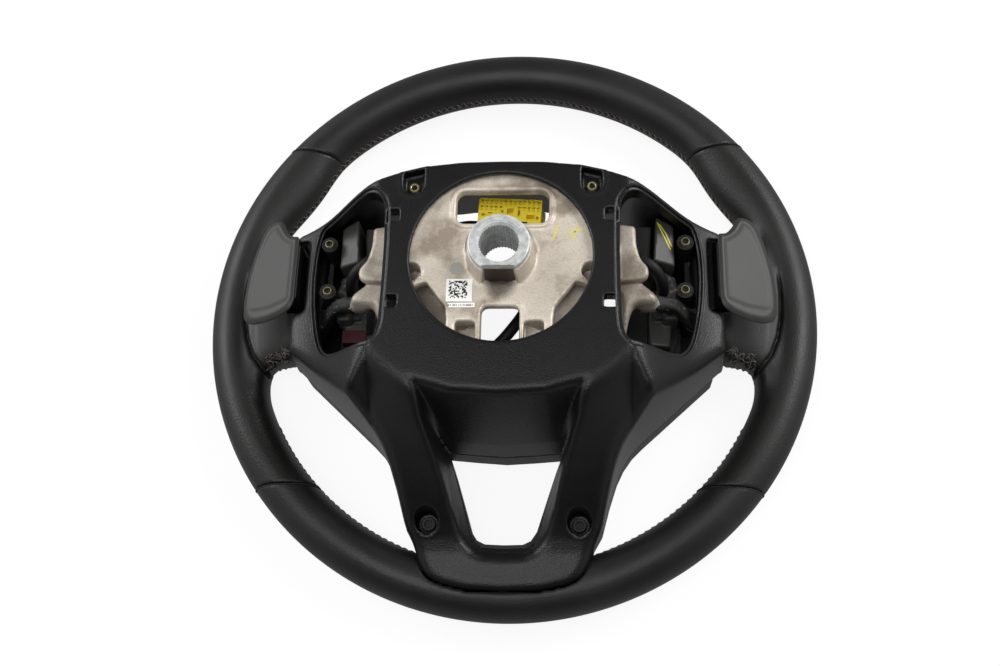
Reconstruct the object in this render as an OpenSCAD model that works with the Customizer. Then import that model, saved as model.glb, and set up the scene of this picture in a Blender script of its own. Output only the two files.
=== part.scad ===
// Car steering wheel without its airbag, lying on its front.
// The origin is on the wheel's axis in the plane of the rim's front, and +Z runs
// towards the steering column, so the back of the wheel faces up.
// +Y is twelve o'clock.

/* [Rim] */
// Outside diameter of the rim
rim_od = 375; // [365:1:385]
// Thickness of the rim, across the ring
rim_width = 30; // [28:0.5:33]
// Depth of the rim, front to back
rim_depth = 33; // [30:0.5:35]
// How far each thumb grip swells inwards
grip_bulge = 5.9; // [0:0.1:8]
// Angle of the thumb grips above the spokes
grip_angle = 32; // [29:1:33]
// Angle over which each grip rises and falls, to either side of its middle
grip_reach = 11; // [8:0.5:12]
// Height of the upper leather joints at the inside of the rim
upper_joint_y = 108.1; // [104:0.2:112]
// Slope of the upper leather joints, rising outwards
upper_joint_slope = 9.3; // [0:0.1:12]
// Depth of the lower leather joints at the inside of the rim
lower_joint_y = 109.4; // [106:0.2:114]
// Slope of the lower leather joints, falling outwards
lower_joint_slope = 4.2; // [0:0.1:8]
// Thickness of the leather
leather_t = 1.5; // [1:0.1:2]
// Diameter of the cast ring inside the rim
core_d = 11; // [9:0.5:13]

/* [Hub] */
// Diameter of the splined bore, at the tips of its teeth
bore_d = 21.2; // [18:0.1:23]
// Length of the hub bush
bush_len = 31; // [26:1:34]
// Outside diameter of the bush at its face
bush_d = 34.2; // [31:0.2:35]
// Depth of the wide collar at the face of the bush
bush_collar = 5; // [3:0.5:7]
// Height of the hub face above the rim's front
hub_face_z = 124; // [121:1:127]
// Diameter of the cast boss at its foot
boss_d = 39; // [38:0.5:42]
// Height of the back of the hub plate above the rim's front
plate_z = 104.5; // [102:0.5:106]
// Thickness of the hub plate
plate_t = 5; // [4:0.5:6]
// Radius of the hub plate
plate_r = 55.5; // [54:0.5:56]
// Depth of the ribs on the front of the plate
rib_depth = 9; // [5:1:12]
// Width of the wiring window in the plate
wire_window_w = 51.6; // [46:1:54]
// Width of the slot at the bottom of the plate
plate_slot_w = 20.8; // [16:0.4:23]

/* [Rear cover] */
// Height of the flat back face of the cover
face_z = 110.5; // [109:0.5:113]
// Wall of the moulded cover
cover_wall = 2.8; // [2:0.1:3.2]
// Radius of the hole round the hub
hub_hole_r = 50.6; // [46:0.2:53]
// Height of the joint between the rear cover and the front trim
parting_z = 28; // [26:0.5:30]
// Height of the open edge along the top of the cover
top_edge_z = 41.5; // [36:0.5:48]
// Draft of the side walls, sideways per unit of height
draft = 0.052; // [0.03:0.002:0.06]
// Reach of the wings of the cover from the axis
wing_reach = 128; // [126:0.5:129]
// Diameter of the deep screw wells in the lower spokes
well_d = 13.6; // [11:0.2:14]
// Width of the screw notches in the top edge
notch_w = 11.5; // [9:0.5:13]
// Width of the square clip windows
clip_window_w = 6.4; // [5:0.2:8]

/* [Paddles] */
// Travel of each paddle when it is pulled, in degrees
paddle_travel = 6; // [3:0.5:7]
// Thickness of the paddle blade
blade_t = 4; // [3:0.2:5]
// Height of the blade's inner edge
blade_z = 73; // [71:0.5:76]
// Fall of the blade towards the rim, per unit of width
blade_fall = 0.45; // [0.3:0.01:0.5]
// Diameter of the hinge pins
pin_d = 3; // [2.4:0.1:3.6]

/* [Switches] */
// Width of the front buttons
button_w = 22; // [18:0.5:23]
// Height of each front button, up and down the spoke
button_h = 11; // [9:0.5:12]
// Travel of the buttons
button_travel = 1; // [0.6:0.1:1.5]
// Height of the front face of the trim above the rim's front
front_z = 12; // [11:0.5:14]
// Wall of the front trim
trim_wall = 2.5; // [2:0.1:3]

/* [Wiring] */
// Diameter of the taped looms
loom_d = 7; // [5:0.5:8]
// Length of the wiring connector
connector_l = 37; // [32:0.5:40]

/* [Hidden] */

// Small gap between pieces that are seated on each other
seat = 0.1;
// Gap round a piece that moves
run_gap = 0.3;
// Overlap of cutters past the faces that they open
past = 1;

mid_z = rim_depth / 2;
ring_r = rim_od / 2 - rim_width / 2;
rim_in_r = ring_r - rim_width / 2;

// Places on the hub plate and the cover, from the axis
upper_screw = [50.5, 44];
lower_screw = [43.1, -134.6];
side_hole = [50, -8.5];
carrier_screw_top = [104.6, 24];
carrier_screw_low = [103.6, -6.2];
carrier_boss_z = 71.5;
hinge_x = 113;
hinge_z = 48;
stem_y = [-10, 25];
stem_x = [122.6, 127];
slot_y = [-17, 28];
button_x = 88;
button_pitch = 14;
button_mid_y = -4;

function lerp(a, b, t) = a + (b - a) * t;
function unit2(v) = v / max(norm(v), 0.0001);
function left_of(v) = [-v[1], v[0]];

// Full outline from the half with x >= 0, listed upwards from the bottom
function both_sides(half) = concat(half,
    [for (i = [len(half) - 1 : -1 : 0]) if (half[i][0] > 0.01) [-half[i][0], half[i][1]]]);

// Outline moved inwards by d, for points that run anticlockwise
function inset(p, d) = let (n = len(p)) [for (i = [0 : n - 1])
    let (a = left_of(unit2(p[i] - p[(i + n - 1) % n])), b = left_of(unit2(p[(i + 1) % n] - p[i])))
    p[i] + d * (a + b) / (1 + a * b)];

function at_z(p, z) = [for (q = p) [q[0], q[1], z]];

// Solid through a list of rings with the same number of points,
// anticlockwise about the direction of travel
module skin(rings) {
    n = len(rings[0]);
    last = (len(rings) - 1) * n;
    polyhedron(
        points = [for (r = rings) each r],
        faces = concat(
            [[for (j = [0 : n - 1]) j]],
            [for (i = [0 : len(rings) - 2]) for (j = [0 : n - 1])
                [i * n + j, (i + 1) * n + j, (i + 1) * n + (j + 1) % n]],
            [for (i = [0 : len(rings) - 2]) for (j = [0 : n - 1])
                [i * n + j, (i + 1) * n + (j + 1) % n, i * n + (j + 1) % n]],
            [[for (j = [n - 1 : -1 : 0]) last + j]]),
        convexity = 6);
}

// Solid ring through a closed round of rings
module closed_skin(rings) {
    n = len(rings[0]);
    m = len(rings);
    polyhedron(
        points = [for (r = rings) each r],
        faces = [for (i = [0 : m - 1], j = [0 : n - 1]) let (k = (i + 1) % m, l = (j + 1) % n)
            each [[i * n + j, k * n + j, k * n + l], [i * n + j, k * n + l, i * n + l]]],
        convexity = 6);
}

// A moulded skin, taken as one faceted body
module moulded() { resize([0, 0, 0]) children(); }

module mirrored() {
    children();
    mirror([1, 0, 0]) children();
}

// Rim

// Rim section in the plane of its radius: distance along the radius, then height
section_points = 16;
function bump(a) = abs(a - grip_angle) >= grip_reach ? 0
    : grip_bulge * (0.5 + 0.5 * cos(180 * (a - grip_angle) / grip_reach));
function rim_section(d, swell) = [for (i = [0 : section_points - 1])
    let (t = 360 * i / section_points, half = rim_width / 2 + (sin(t) < 0 ? swell : 0) - d)
    [half * sin(t), (rim_depth / 2 - d) * cos(t)]];
function rim_ring(a, d) = [for (q = rim_section(d, bump(a > 90 ? 180 - a : a)))
    [(ring_r + q[0]) * cos(a), (ring_r + q[0]) * sin(a), mid_z + q[1]]];

// Plain stretch of the rim between two angles, solid or as a shell
module rim_arc(from, to, d, wall = 0) {
    translate([0, 0, mid_z]) rotate([0, 0, from]) rotate_extrude(angle = to - from, $fn = 96)
        translate([ring_r, 0]) difference() {
            polygon(rim_section(d, 0));
            if (wall > 0) polygon(rim_section(d + wall, 0));
        }
}

// Right-hand stretch of the rim, with its thumb grip, to just past both leather joints
rim_steps = 19;
side_low = -asin(lower_joint_y / rim_in_r) - 3;
side_high = asin(upper_joint_y / rim_in_r) + 3;
side_angles = [for (i = [0 : rim_steps]) lerp(side_low, side_high, i / rim_steps)];
module rim_side(d) { skin([for (a = side_angles) rim_ring(a, d)]); }

// What lies above or below a leather joint. A joint starts at a height inside the rim and slopes.
module beside_joint(y, slope, above) {
    translate([sqrt(rim_in_r ^ 2 - y ^ 2), y, -1]) rotate([0, 0, slope])
        translate([-70, above ? 0 : -80, 0]) cube([180, 80, rim_depth + 2]);
}
module past_upper_joint() { beside_joint(upper_joint_y, upper_joint_slope, true); }
module past_lower_joint() { beside_joint(-lower_joint_y, -lower_joint_slope, false); }

// Leather-covered root of a side spoke, from the wing of the cover to the rim.
// Each row is the place along it, its lower and upper edges, and its front and back.
tongue_rows = [
    [0, -35.6, 26.8, 15.8, 57.4],
    [0.17, -38.2, 28.3, 13, 53.7],
    [0.34, -36.9, 29.5, 10.5, 47],
    [0.54, -38.6, 34, 7.5, 39.5],
    [0.75, -46, 42.6, 5.3, 34.2],
    [1, -59, 58.5, 4.4, 29.6]];
tongue_points = 14;
tongue_start = wing_reach - 3.4;
function tongue_ring(row, d) = let (
    x = lerp(tongue_start, ring_r - 8, row[0]),
    yc = (row[1] + row[2]) / 2, zc = (row[3] + row[4]) / 2,
    hy = (row[2] - row[1]) / 2 - d, hz = (row[4] - row[3]) / 2 - d)
    [for (i = [0 : tongue_points - 1]) let (t = 360 * (i + 0.5) / tongue_points)
        [x, yc + hy * sign(cos(t)) * pow(abs(cos(t)), 0.7), zc + hz * sign(sin(t)) * pow(abs(sin(t)), 0.7)]];
module tongue(d) { skin([for (row = tongue_rows) tongue_ring(row, d)]); }

// Room in the spoke root for the paddle's stem
module stem_room() {
    translate([tongue_start - past, stem_y[0] - 3, 41])
        cube([stem_x[1] + 3 - tongue_start + past, stem_y[1] - stem_y[0] + 6, 30]);
}

module side_leather(hand) {
    mirror([hand < 0 ? 1 : 0, 0, 0]) moulded() difference() {
        union() {
            rim_side(0);
            tongue(0);
        }
        rim_side(leather_t);
        tongue(leather_t);
        past_upper_joint();
        past_lower_joint();
        translate([tongue_start - past, -60, 0]) cube([past + leather_t, 120, 80]);
        side_arm(seat);
        stem_room();
    }
}

module leather_left() { color("#2b2a29") side_leather(-1); }
module leather_right() { color("#2b2a29") side_leather(1); }

module leather_top() {
    start = asin(upper_joint_y / (rim_od / 2));
    color("#242424") difference() {
        rim_arc(start, 180 - start, 0, leather_t);
        mirrored() beside_joint(upper_joint_y, upper_joint_slope, false);
    }
}

// Where the lower arms of the armature enter the rim
module arm_doors() {
    mirrored() translate([29.5, -rim_in_r - 4, 13.5]) cube([21, 14, 11]);
}

module leather_bottom() {
    start = asin(lower_joint_y / (rim_od / 2));
    color("#242424") difference() {
        rim_arc(180 + start, 360 - start, 0, leather_t);
        mirrored() beside_joint(-lower_joint_y, -lower_joint_slope, true);
        cover_pocket();
        arm_doors();
    }
}

// The foam is one moulding on the cast ring, under all the leather
function arc_angles(from, to, steps) = [for (i = [1 : steps - 1]) lerp(from, to, i / steps)];
foam_angles = concat(side_angles, arc_angles(side_high, 180 - side_high, 18),
    [for (a = side_angles) 180 - side_high - side_low + a], arc_angles(180 - side_low, 360 + side_low, 18));
module rim_foam() {
    under = leather_t + 0.4;
    color("#4a4a48") moulded() difference() {
        union() {
            closed_skin([for (a = foam_angles) rim_ring(a, under)]);
            mirrored() tongue(leather_t + seat);
        }
        round_ring(core_d / 2 + 0.4, 12, 0.5);
        mirrored() {
            side_arm(0.3);
            lower_arm(0.3);
            stem_room();
            translate([tongue_start - past, -60, 0]) cube([past + leather_t, 120, 80]);
        }
        cover_pocket();
    }
}

// Armature

// Ring of round section about the wheel's axis
ring_steps = 48;
module round_ring(r, sides, turn) {
    closed_skin([for (i = [0 : ring_steps - 1]) let (a = 360 * (i + turn) / ring_steps)
        [for (k = [0 : sides - 1]) let (t = 360 * k / sides)
            [(ring_r + r * sin(t)) * cos(a), (ring_r + r * sin(t)) * sin(a), mid_z + r * cos(t)]]]);
}

module core_ring() { round_ring(core_d / 2, 12, 0.5); }

// Chamfered bar section, half sizes across and up
function bar(hx, hy, c = 2) = [[hx, hy - c], [hx - c, hy], [c - hx, hy], [-hx, hy - c],
    [-hx, c - hy], [c - hx, -hy], [hx - c, -hy], [hx, c - hy]];

// Side arm: place along it, centre across and up, half width and half height
side_arm_rows = [
    [0, -6, 98, 14, 4], [0.15, -13, 93, 10, 6], [0.29, -18, 80, 7.5, 7],
    [0.43, -22, 61, 6, 7.5], [0.58, -21, 40, 6.5, 7], [0.73, -17, 27, 8, 6],
    [0.89, -12, 18.6, 10, 5], [1, -11, 16.5, 11, 3.8]];
module side_arm(d) {
    skin([for (r = side_arm_rows) [for (q = bar(r[3] + d, r[4] + d))
        [lerp(52, ring_r - 1.5, r[0]), r[1] + q[0], r[2] + q[1]]]]);
}

// Lower arm, inside each leg of the vee, listed from the hub to the rim
lower_arm_rows = [
    [0, 25, 99.5, 9, 4.5], [0.154, 48, 96.5, 7.5, 5], [0.26, 58, 89, 6.8, 5.8], [0.415, 56.5, 68, 7, 6.5],
    [0.52, 51.5, 50, 7.5, 6.5], [0.61, 47.5, 32, 8, 6], [0.68, 44.5, 22, 8.5, 5],
    [0.8, 40.6, 20.6, 7.2, 4.6], [0.908, 39.6, 19, 7.2, 3.8], [1, 39, 17.5, 8, 3.5]];
lower_arm_end = sqrt(ring_r * ring_r - 39.5 * 39.5);
module lower_arm(d) {
    skin([for (r = lower_arm_rows) [for (q = bar(r[3] + d, r[4] + d))
        [r[1] + q[0], -lerp(38, lower_arm_end, r[0]), r[2] + q[1]]]]);
}

well_floor_z = 27.4;
module plate_outline() {
    difference() {
        union() {
            circle(plate_r, $fn = 96);
            mirrored() polygon([[40, -30], [58, -14], [66, -11], [66, 22], [50, 28]]);
        }
        mirrored() translate(upper_screw) circle(notch_w / 2 + 3.6, $fn = 48);
    }
}

// Ears under the screw notches of the cover, a step lower than the plate
module plate_ears() {
    translate([0, 0, plate_z - plate_t - rib_depth]) linear_extrude(upper_seat_z - seat - plate_z + plate_t + rib_depth)
        mirrored() {
            translate(upper_screw) circle(7, $fn = 32);
            polygon([[37, 40], [48, 27], [upper_screw[0] + 6, upper_screw[1] - 3],
                [upper_screw[0] - 3, upper_screw[1] + 6]]);
        }
}

module plate_holes() {
    translate([0, 30.5]) rounded_square(wire_window_w, 20, 4);
    translate([0, -29.3 - 20]) rounded_square(plate_slot_w, 40, 3.5);
    mirrored() {
        translate(side_hole) circle(5.4, $fn = 32);
        translate([34, -27.5]) rotate(-60) rounded_square(23, 6.4, 2);
        translate([18.6, -45.5]) rounded_square(10.4, 14, 1.6);
    }
}

module rounded_square(w, h, r) {
    square([w - 2 * r, h], center = true);
    square([w, h - 2 * r], center = true);
    for (sx = [-1, 1], sy = [-1, 1]) translate([sx * (w / 2 - r), sy * (h / 2 - r)]) circle(r, $fn = 24);
}

boss_cone = 1.6;
module boss() {
    top = hub_face_z - bush_collar - seat;
    difference() {
        rotate_extrude($fn = 72) polygon([[0, plate_z - plate_t - rib_depth], [boss_d / 2 - boss_cone,
            plate_z - plate_t - rib_depth], [boss_d / 2 + 2.5, plate_z - 0.5], [boss_d / 2, plate_z + 2.5],
            [boss_d / 2 - boss_cone, top], [0, top]]);
        translate([-8.3, -boss_d, plate_z]) cube([16.6, boss_d - bush_d / 2 + 0.6, 40]);
    }
}

module armature() {
    bush_body_r = bush_d / 2 - 2 + seat;
    color("#b9b1a6") difference() {
        union() {
            translate([0, 0, plate_z - plate_t]) linear_extrude(plate_t) difference() {
                plate_outline();
                plate_holes();
            }
            // Beads round the window and the slot
            translate([-wire_window_w / 2, 42.7, plate_z - 0.4]) rotate([0, 90, 0])
                cylinder(r = 1.9, h = wire_window_w, $fn = 24);
            mirrored() {
                translate([plate_slot_w / 2 + 1.4, -48, plate_z - 0.4]) rotate([-90, 0, 0])
                    cylinder(r = 1.2, h = 20, $fn = 20);
                translate([lower_screw[0], lower_screw[1], mid_z]) cylinder(r = 7,
                    h = well_floor_z - seat - mid_z, $fn = 32);
            }
            plate_ears();
            plate_ribs();
            boss();
            moulded() {
                core_ring();
                mirrored() {
                    side_arm(0);
                    lower_arm(0);
                }
            }
        }
        translate([0, 0, plate_z - 40]) cylinder(r = bush_body_r, h = 80, $fn = 72);
        mirrored() {
            translate([upper_screw[0], upper_screw[1], plate_z - 30]) cylinder(d = 4.2, h = 60, $fn = 24);
            translate([lower_screw[0], lower_screw[1], mid_z - 10]) cylinder(d = 4.2, h = 40, $fn = 24);
        }
    }
}

// Stiffening ribs on the front of the hub plate
module plate_ribs() {
    translate([0, 0, plate_z - plate_t - rib_depth]) linear_extrude(rib_depth) difference() {
        union() {
            for (a = [-12, 22, 158, 192, 238, 302]) rotate(a) translate([boss_d / 2 - 2, -1.25])
                square([plate_r - boss_d / 2 + 0.5, 2.5]);
            difference() {
                circle(plate_r - 0.5, $fn = 96);
                circle(plate_r - 3, $fn = 96);
            }
        }
        plate_holes();
    }
}

module hub_bush() {
    wide = bush_d / 2;
    body = wide - 2;
    low = hub_face_z - bush_len;
    bore = bore_d / 2;
    color("#9aa0a2") rotate_extrude($fn = 96) polygon([[bore + 1.5, hub_face_z], [wide - 0.8, hub_face_z],
        [wide, hub_face_z - 0.8], [wide, hub_face_z - bush_collar], [body, hub_face_z - bush_collar],
        [body, low], [bore + 1.5, low], [bore, low + 1.5], [bore, hub_face_z - 1.5]]);
}

// Rear cover

// Foot of the cover where it meets the front trim, right half from the bottom up
leg_hub_y = -91.4;
leg_rim_y = -(rim_in_r - 12);
function leg_y(t) = lerp(leg_hub_y, leg_rim_y, t);
cover_foot = both_sides([
    [0, -ring_r - 0.6], [22, -ring_r + 0.6], [37, 4.2 - ring_r], [44.5, 8.4 - ring_r], [48.4, 16.5 - ring_r],
    [51.8, leg_y(1)], [56.3, leg_y(0.85)], [60.6, leg_y(0.54)], [65, leg_y(0.28)], [69, leg_y(0.12)],
    [74, leg_hub_y + 0.9], [80, -84.3], [wing_reach - 3, -42.4], [wing_reach, -40.5],
    [wing_reach, 33], [wing_reach - 3, 35.2], [111, 39.2], [93, 45.2], [76, 50.6], [62, 55.8],
    [44, 60.3], [24, 62.5], [0, 63]]);

// Height of the back surface over the wings, by distance from the axis
wing_rows = [[71, 0], [76, -3.6], [80, -7.3], [85, -12], [92.5, -20.5], [100, -29], [105, -34],
    [110, -38], [115, -41.3], [120, -44], [130, -48]];
// Fall of the back surface below its lower crease, by distance past the crease
drop_rows = [[0, 0], [5, -2.5], [12, -10], [20, -19.5], [30, -32], [40, -43.5], [52, -56], [65, -67],
    [72, -71.7], [80, -75], [90, -76.7], [112, -78.5]];
// The lower crease of the flat face is an arch: a cubic, then a straight flank
crease_low = -80.7;
crease_end = 71.5;
function crease_y(x) = abs(x) < crease_end ? crease_low + 8.1e-5 * pow(abs(x), 3)
    : crease_low + 8.1e-5 * pow(crease_end, 3) - 1.2 * (abs(x) - crease_end);
drop_fade = 65;
function drop_y(x, s) = crease_y(50) - s + (crease_y(x) - crease_y(50)) * max(0, 1 - s / drop_fade);

module foot_prism(d) {
    low = d > 0 ? parting_z - 6 : parting_z;
    high = face_z + 6;
    skin([at_z(inset(cover_foot, d + draft * (low - parting_z)), low),
        at_z(inset(cover_foot, d + draft * (high - parting_z)), high)]);
}

module wing_slopes(d) {
    rotate([90, 0, 0]) translate([0, 0, -90]) linear_extrude(300) polygon(concat(
        [[-wing_reach - 9, 0], [wing_reach + 9, 0]],
        [for (i = [len(wing_rows) - 1 : -1 : 0]) [wing_rows[i][0] - d * 0.4, face_z + wing_rows[i][1] - d]],
        [for (r = wing_rows) [d * 0.4 - r[0], face_z + r[1] - d]]));
}

drop_stations = [-140, -90, -71.5, -59.3, -47, -35.2, -23.3, -11.6, 0, 11.6, 23.3, 35.2, 47, 59.3, 71.5, 90, 140];
module leg_slopes(d) {
    skin([for (x = drop_stations) concat(
        [[x, -ring_r - 30, 0], [x, 90, 0], [x, 90, face_z - d]],
        [for (r = drop_rows) [x, drop_y(x, r[0]) + d * 0.4, face_z + r[1] - d]],
        [[x, -ring_r - 30, face_z - 79 - d]])]);
}

// Opening between the two lower spokes, wider at the back.
// Each level lists its right half from the bottom up, past the chin.
vee_end = rim_in_r - 157.5;
vee_a = [[0, -145.2 - vee_end], [10.8, -144.8 - vee_end], [15.4, -142.6 - vee_end], [18.8, -137.4 - vee_end],
    [24, -120.4], [29.4, -103], [33.4, -91.6], [17.3, -93], [0, -94.2]];
vee_b = [[0, -157.3 - vee_end], [12, -156.4 - vee_end], [19.3, -152.6 - vee_end], [23.8, -145.6 - vee_end],
    [26.2, -124], [30.8, -104], [35.4, -89.8], [18, -91.6], [0, -92.8]];
vee_c = [[0, -161 - vee_end], [14, -160 - vee_end], [22.3, -155.5 - vee_end], [26.6, -147 - vee_end],
    [28.8, -125], [32.3, -104], [36.8, -88.4], [18.3, -90.4], [0, -91.6]];
vee_d = [[0, -173.4 - vee_end], [18.5, -172.4 - vee_end], [28.7, -165 - vee_end], [33.8, -152.6 - vee_end],
    [36.9, -126.1], [42.1, -98.4], [49.2, -68.8], [25.8, -76.9], [0, -78.4]];
module vee_opening(d) {
    low = -5;
    skin([at_z(inset(both_sides(vee_a), -d), low), at_z(inset(both_sides(vee_a), -d), parting_z - 1.5),
        at_z(inset(both_sides(vee_b), -d), parting_z + 9.5), at_z(inset(both_sides(vee_c), -d), parting_z + 18.5),
        at_z(inset(both_sides(vee_d), -d), face_z + 8)]);
}

module cover_form(d) {
    difference() {
        intersection() {
            foot_prism(d);
            wing_slopes(d);
            leg_slopes(d);
        }
        vee_opening(d);
    }
}

// Side windows, right one: points anticlockwise from the lower inner corner
window_points = [[71, -50.2], [84, -50.8], [93, -50.4], [99.8, -48.6], [104.8, -41.6], [108, -30], [110.7, -15.3],
    [112, 0], [111.8, 14], [110.7, 23.9], [108.4, 32.8], [103, 38], [90, 40.2], [75, 41.2], [70.4, 39],
    [67.3, 35], [66, 30], [65.6, 5], [65.8, -20], [66.4, -40], [68, -47]];

// The pocket in the rim that the foot of the cover sits in
pocket_z = 29.5;
module cover_pocket() {
    translate([0, 0, pocket_z]) linear_extrude(20) polygon(inset(cover_foot, -run_gap));
}

upper_seat_z = face_z - 11.3;
module cover_wells() {
    mirrored() {
        translate([lower_screw[0], lower_screw[1], well_floor_z]) cylinder(r = well_d / 2 + 2, h = 30, $fn = 48);
        translate([upper_screw[0], upper_screw[1], upper_seat_z]) {
            cylinder(r = notch_w / 2 + 2.5, h = 20, $fn = 48);
            translate([-notch_w / 2 - 2.5, 0, 0]) cube([notch_w + 5, 34, 20]);
        }
    }
}

module cover_skin() {
    moulded() difference() {
        union() {
            difference() {
                cover_form(0);
                cover_form(cover_wall);
            }
            intersection() {
                cover_form(0);
                cover_wells();
            }
        }
        // Open top edge
        translate([-70, 30, 0]) cube([140, 60, top_edge_z]);
        mirrored() {
            translate([0, 0, 30]) linear_extrude(100) polygon(window_points);
            translate([upper_screw[0] - notch_w / 2, upper_screw[1], face_z - 8.5]) cube([notch_w, 40, 20]);
            for (c = [[60.9, 24.5], [59.9, -27.7]]) translate([c[0], c[1], face_z])
                cube([clip_window_w, clip_window_w + 0.8, 12], center = true);
            // Open end, where the leather of the spoke root comes in
            translate([wing_reach - cover_wall - 1, -38, 0]) cube([20, 68.2, 59.5]);
            // Slot for the paddle's stem
            translate([117.5, slot_y[0], 40]) cube([20, slot_y[1] - slot_y[0], 40]);
        }
        intersection() {
            rim_arc(0, 360, -run_gap);
            translate([-100, -200, 0]) cube([200, 100, pocket_z + run_gap]);
        }
    }
}

module rear_cover() {
    color("#212120") difference() {
        cover_skin();
        translate([0, 0, face_z - 20]) cylinder(r = hub_hole_r, h = 40, $fn = 96);
        mirrored() {
            translate([lower_screw[0], lower_screw[1], well_floor_z + 3]) cylinder(d = well_d, h = 60, $fn = 48);
            translate([lower_screw[0], lower_screw[1], 10]) cylinder(d = 4.6, h = 60, $fn = 24);
            translate([upper_screw[0], upper_screw[1], 80]) cylinder(d = 4.6, h = 40, $fn = 24);
            translate([upper_screw[0], upper_screw[1], face_z - 8.5]) cylinder(d = notch_w, h = 20, $fn = 48);
        }
    }
}

// Front trim

airbag_points = both_sides([[0, -82], [24, -80], [44, -73], [58, -60], [65, -42], [66.5, -10], [66.5, 20], [64, 80],
    [0, 80]]);
module trim_outline(d) {
    difference() {
        polygon(inset(cover_foot, d));
        polygon(inset(both_sides(vee_a), -d));
    }
}

module front_trim() {
    color("#1b1b1b") intersection() {
        difference() {
            union() {
                translate([0, 0, front_z]) linear_extrude(trim_wall) difference() {
                    trim_outline(0);
                    polygon(airbag_points);
                    mirrored() switch_opening(run_gap);
                }
                translate([0, 0, front_z]) linear_extrude(parting_z - run_gap - front_z) difference() {
                    trim_outline(0);
                    trim_outline(trim_wall);
                }
                translate([0, 0, front_z]) linear_extrude(24) difference() {
                    intersection() {
                        polygon(inset(airbag_points, -trim_wall));
                        trim_outline(trim_wall);
                    }
                    polygon(airbag_points);
                }
            }
            translate([-75, 30, 0]) cube([150, 60, 60]);
            mirrored() translate([wing_reach - 6, -60, front_z - past]) cube([30, 120, 60]);
        }
        cylinder(r = rim_in_r - run_gap, h = 60, $fn = 96);
    }
}

// Switches on the front of the side spokes

module switch_opening(d) {
    translate([button_x, button_mid_y]) rounded_square(button_w + 10 + 2 * d, 3 * button_pitch + 8 + 2 * d, 6);
}

module switch_housing(hand) {
    floor_z = front_z + 8;
    mirror([hand < 0 ? 1 : 0, 0, 0]) {
        union() {
            // Bezel, flush with the trim
            translate([0, 0, front_z - 0.5]) linear_extrude(floor_z - front_z + 0.5) difference() {
                switch_opening(0);
                for (i = [-1 : 1]) translate([button_x, button_mid_y + i * button_pitch])
                    rounded_square(button_w + 2 * run_gap, button_h + 2 * run_gap, 3 + run_gap);
            }
            // Base plate behind the buttons
            translate([0, 0, floor_z]) linear_extrude(3)
                polygon([[69, -40], [92, -44], [98, -34], [104, -16], [104, 20], [98, 34], [72, 38], [69, 30]]);
            // Electronics box seen through the window of the rear cover
            translate([0, 0, floor_z]) linear_extrude(48)
                polygon([[72, 16], [86, 12], [98, 10], [98.5, 20], [96, 31], [74, 38], [69, 36], [69, 20]]);
            translate([0, 0, floor_z]) linear_extrude(30)
                polygon([[84, -32], [96, -33], [97, -20], [97, 3], [84, 3]]);
        }
    }
}

module switch_housing_left() { color("#3c3b3a") switch_housing(-1); }
module switch_housing_right() { color("#3c3b3a") switch_housing(1); }

module button(hand, place) {
    cap_z = front_z - 2;
    back_z = front_z + 8 - button_travel - run_gap;
    translate([hand * button_x, button_mid_y + place * button_pitch, 0]) {
        translate([0, 0, cap_z + 0.8]) linear_extrude(back_z - cap_z - 0.8) rounded_square(button_w, button_h, 3);
        translate([0, 0, cap_z]) linear_extrude(0.8) rounded_square(button_w - 1.6, button_h - 1.6, 2.4);
    }
}

module button_left_top() { color("#262626") button(-1, 1); }
module button_left_middle() { color("#262626") button(-1, 0); }
module button_left_bottom() { color("#262626") button(-1, -1); }
module button_right_top() { color("#262626") button(1, 1); }
module button_right_middle() { color("#262626") button(1, 0); }
module button_right_bottom() { color("#262626") button(1, -1); }

// Shift paddles

blade_points = [[123.2, -12], [125, -16.4], [130.5, -19.6], [139.5, -22.2], [148.8, -22.6], [154.6, -20.6],
    [157.4, -16], [158, -6], [157, 8], [154, 22], [150, 35], [147, 40.2], [142.5, 43.2], [137, 43.4], [134.4, 40.6],
    [132.2, 35.4], [128.4, 31], [124.4, 30.2], [123.2, 28.6]];
function blade_top(x) = blade_z - blade_fall * (x - 124);

// Blade: a plate on the slope, with a chamfer round its back face
module blade() {
    edge = 2.6;
    skin([
        [for (p = blade_points) [p[0], p[1], blade_top(p[0]) - blade_t]],
        [for (p = blade_points) [p[0], p[1], blade_top(p[0]) - 1.4]],
        [for (p = inset(blade_points, edge)) [p[0], p[1], blade_top(p[0])]]]);
}

knuckle_d = pin_d + 4;
module paddle(hand) {
    mirror([hand < 0 ? 1 : 0, 0, 0]) difference() {
        union() {
            blade();
            // Stem through the slot, and the link to the knuckle
            translate([stem_x[0], stem_y[0], hinge_z - 3]) cube([stem_x[1] - stem_x[0],
                stem_y[1] - stem_y[0], blade_z - blade_t + 4.2 - hinge_z]);
            translate([hinge_x, stem_y[0], hinge_z - 3]) cube([stem_x[0] - hinge_x + 1,
                stem_y[1] - stem_y[0], 6]);
            translate([hinge_x, stem_y[0], hinge_z]) rotate([-90, 0, 0])
                cylinder(d = knuckle_d, h = stem_y[1] - stem_y[0], $fn = 32);
        }
        translate([hinge_x, stem_y[0] - past, hinge_z]) rotate([-90, 0, 0])
            cylinder(d = pin_d + 0.1, h = stem_y[1] - stem_y[0] + 2 * past, $fn = 32);
    }
}
module paddle_left() { color("#6b6966") paddle(-1); }
module paddle_right() { color("#6b6966") paddle(1); }

lug_t = 3.4;
module paddle_pin(hand) {
    translate([hand * hinge_x, stem_y[0] - run_gap - lug_t, hinge_z]) rotate([-90, 0, 0])
        cylinder(d = pin_d, h = stem_y[1] - stem_y[0] + 2 * run_gap + 2 * lug_t, $fn = 32);
}
module paddle_pin_left() { color("#b0b0b0") paddle_pin(-1); }
module paddle_pin_right() { color("#b0b0b0") paddle_pin(1); }

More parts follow.
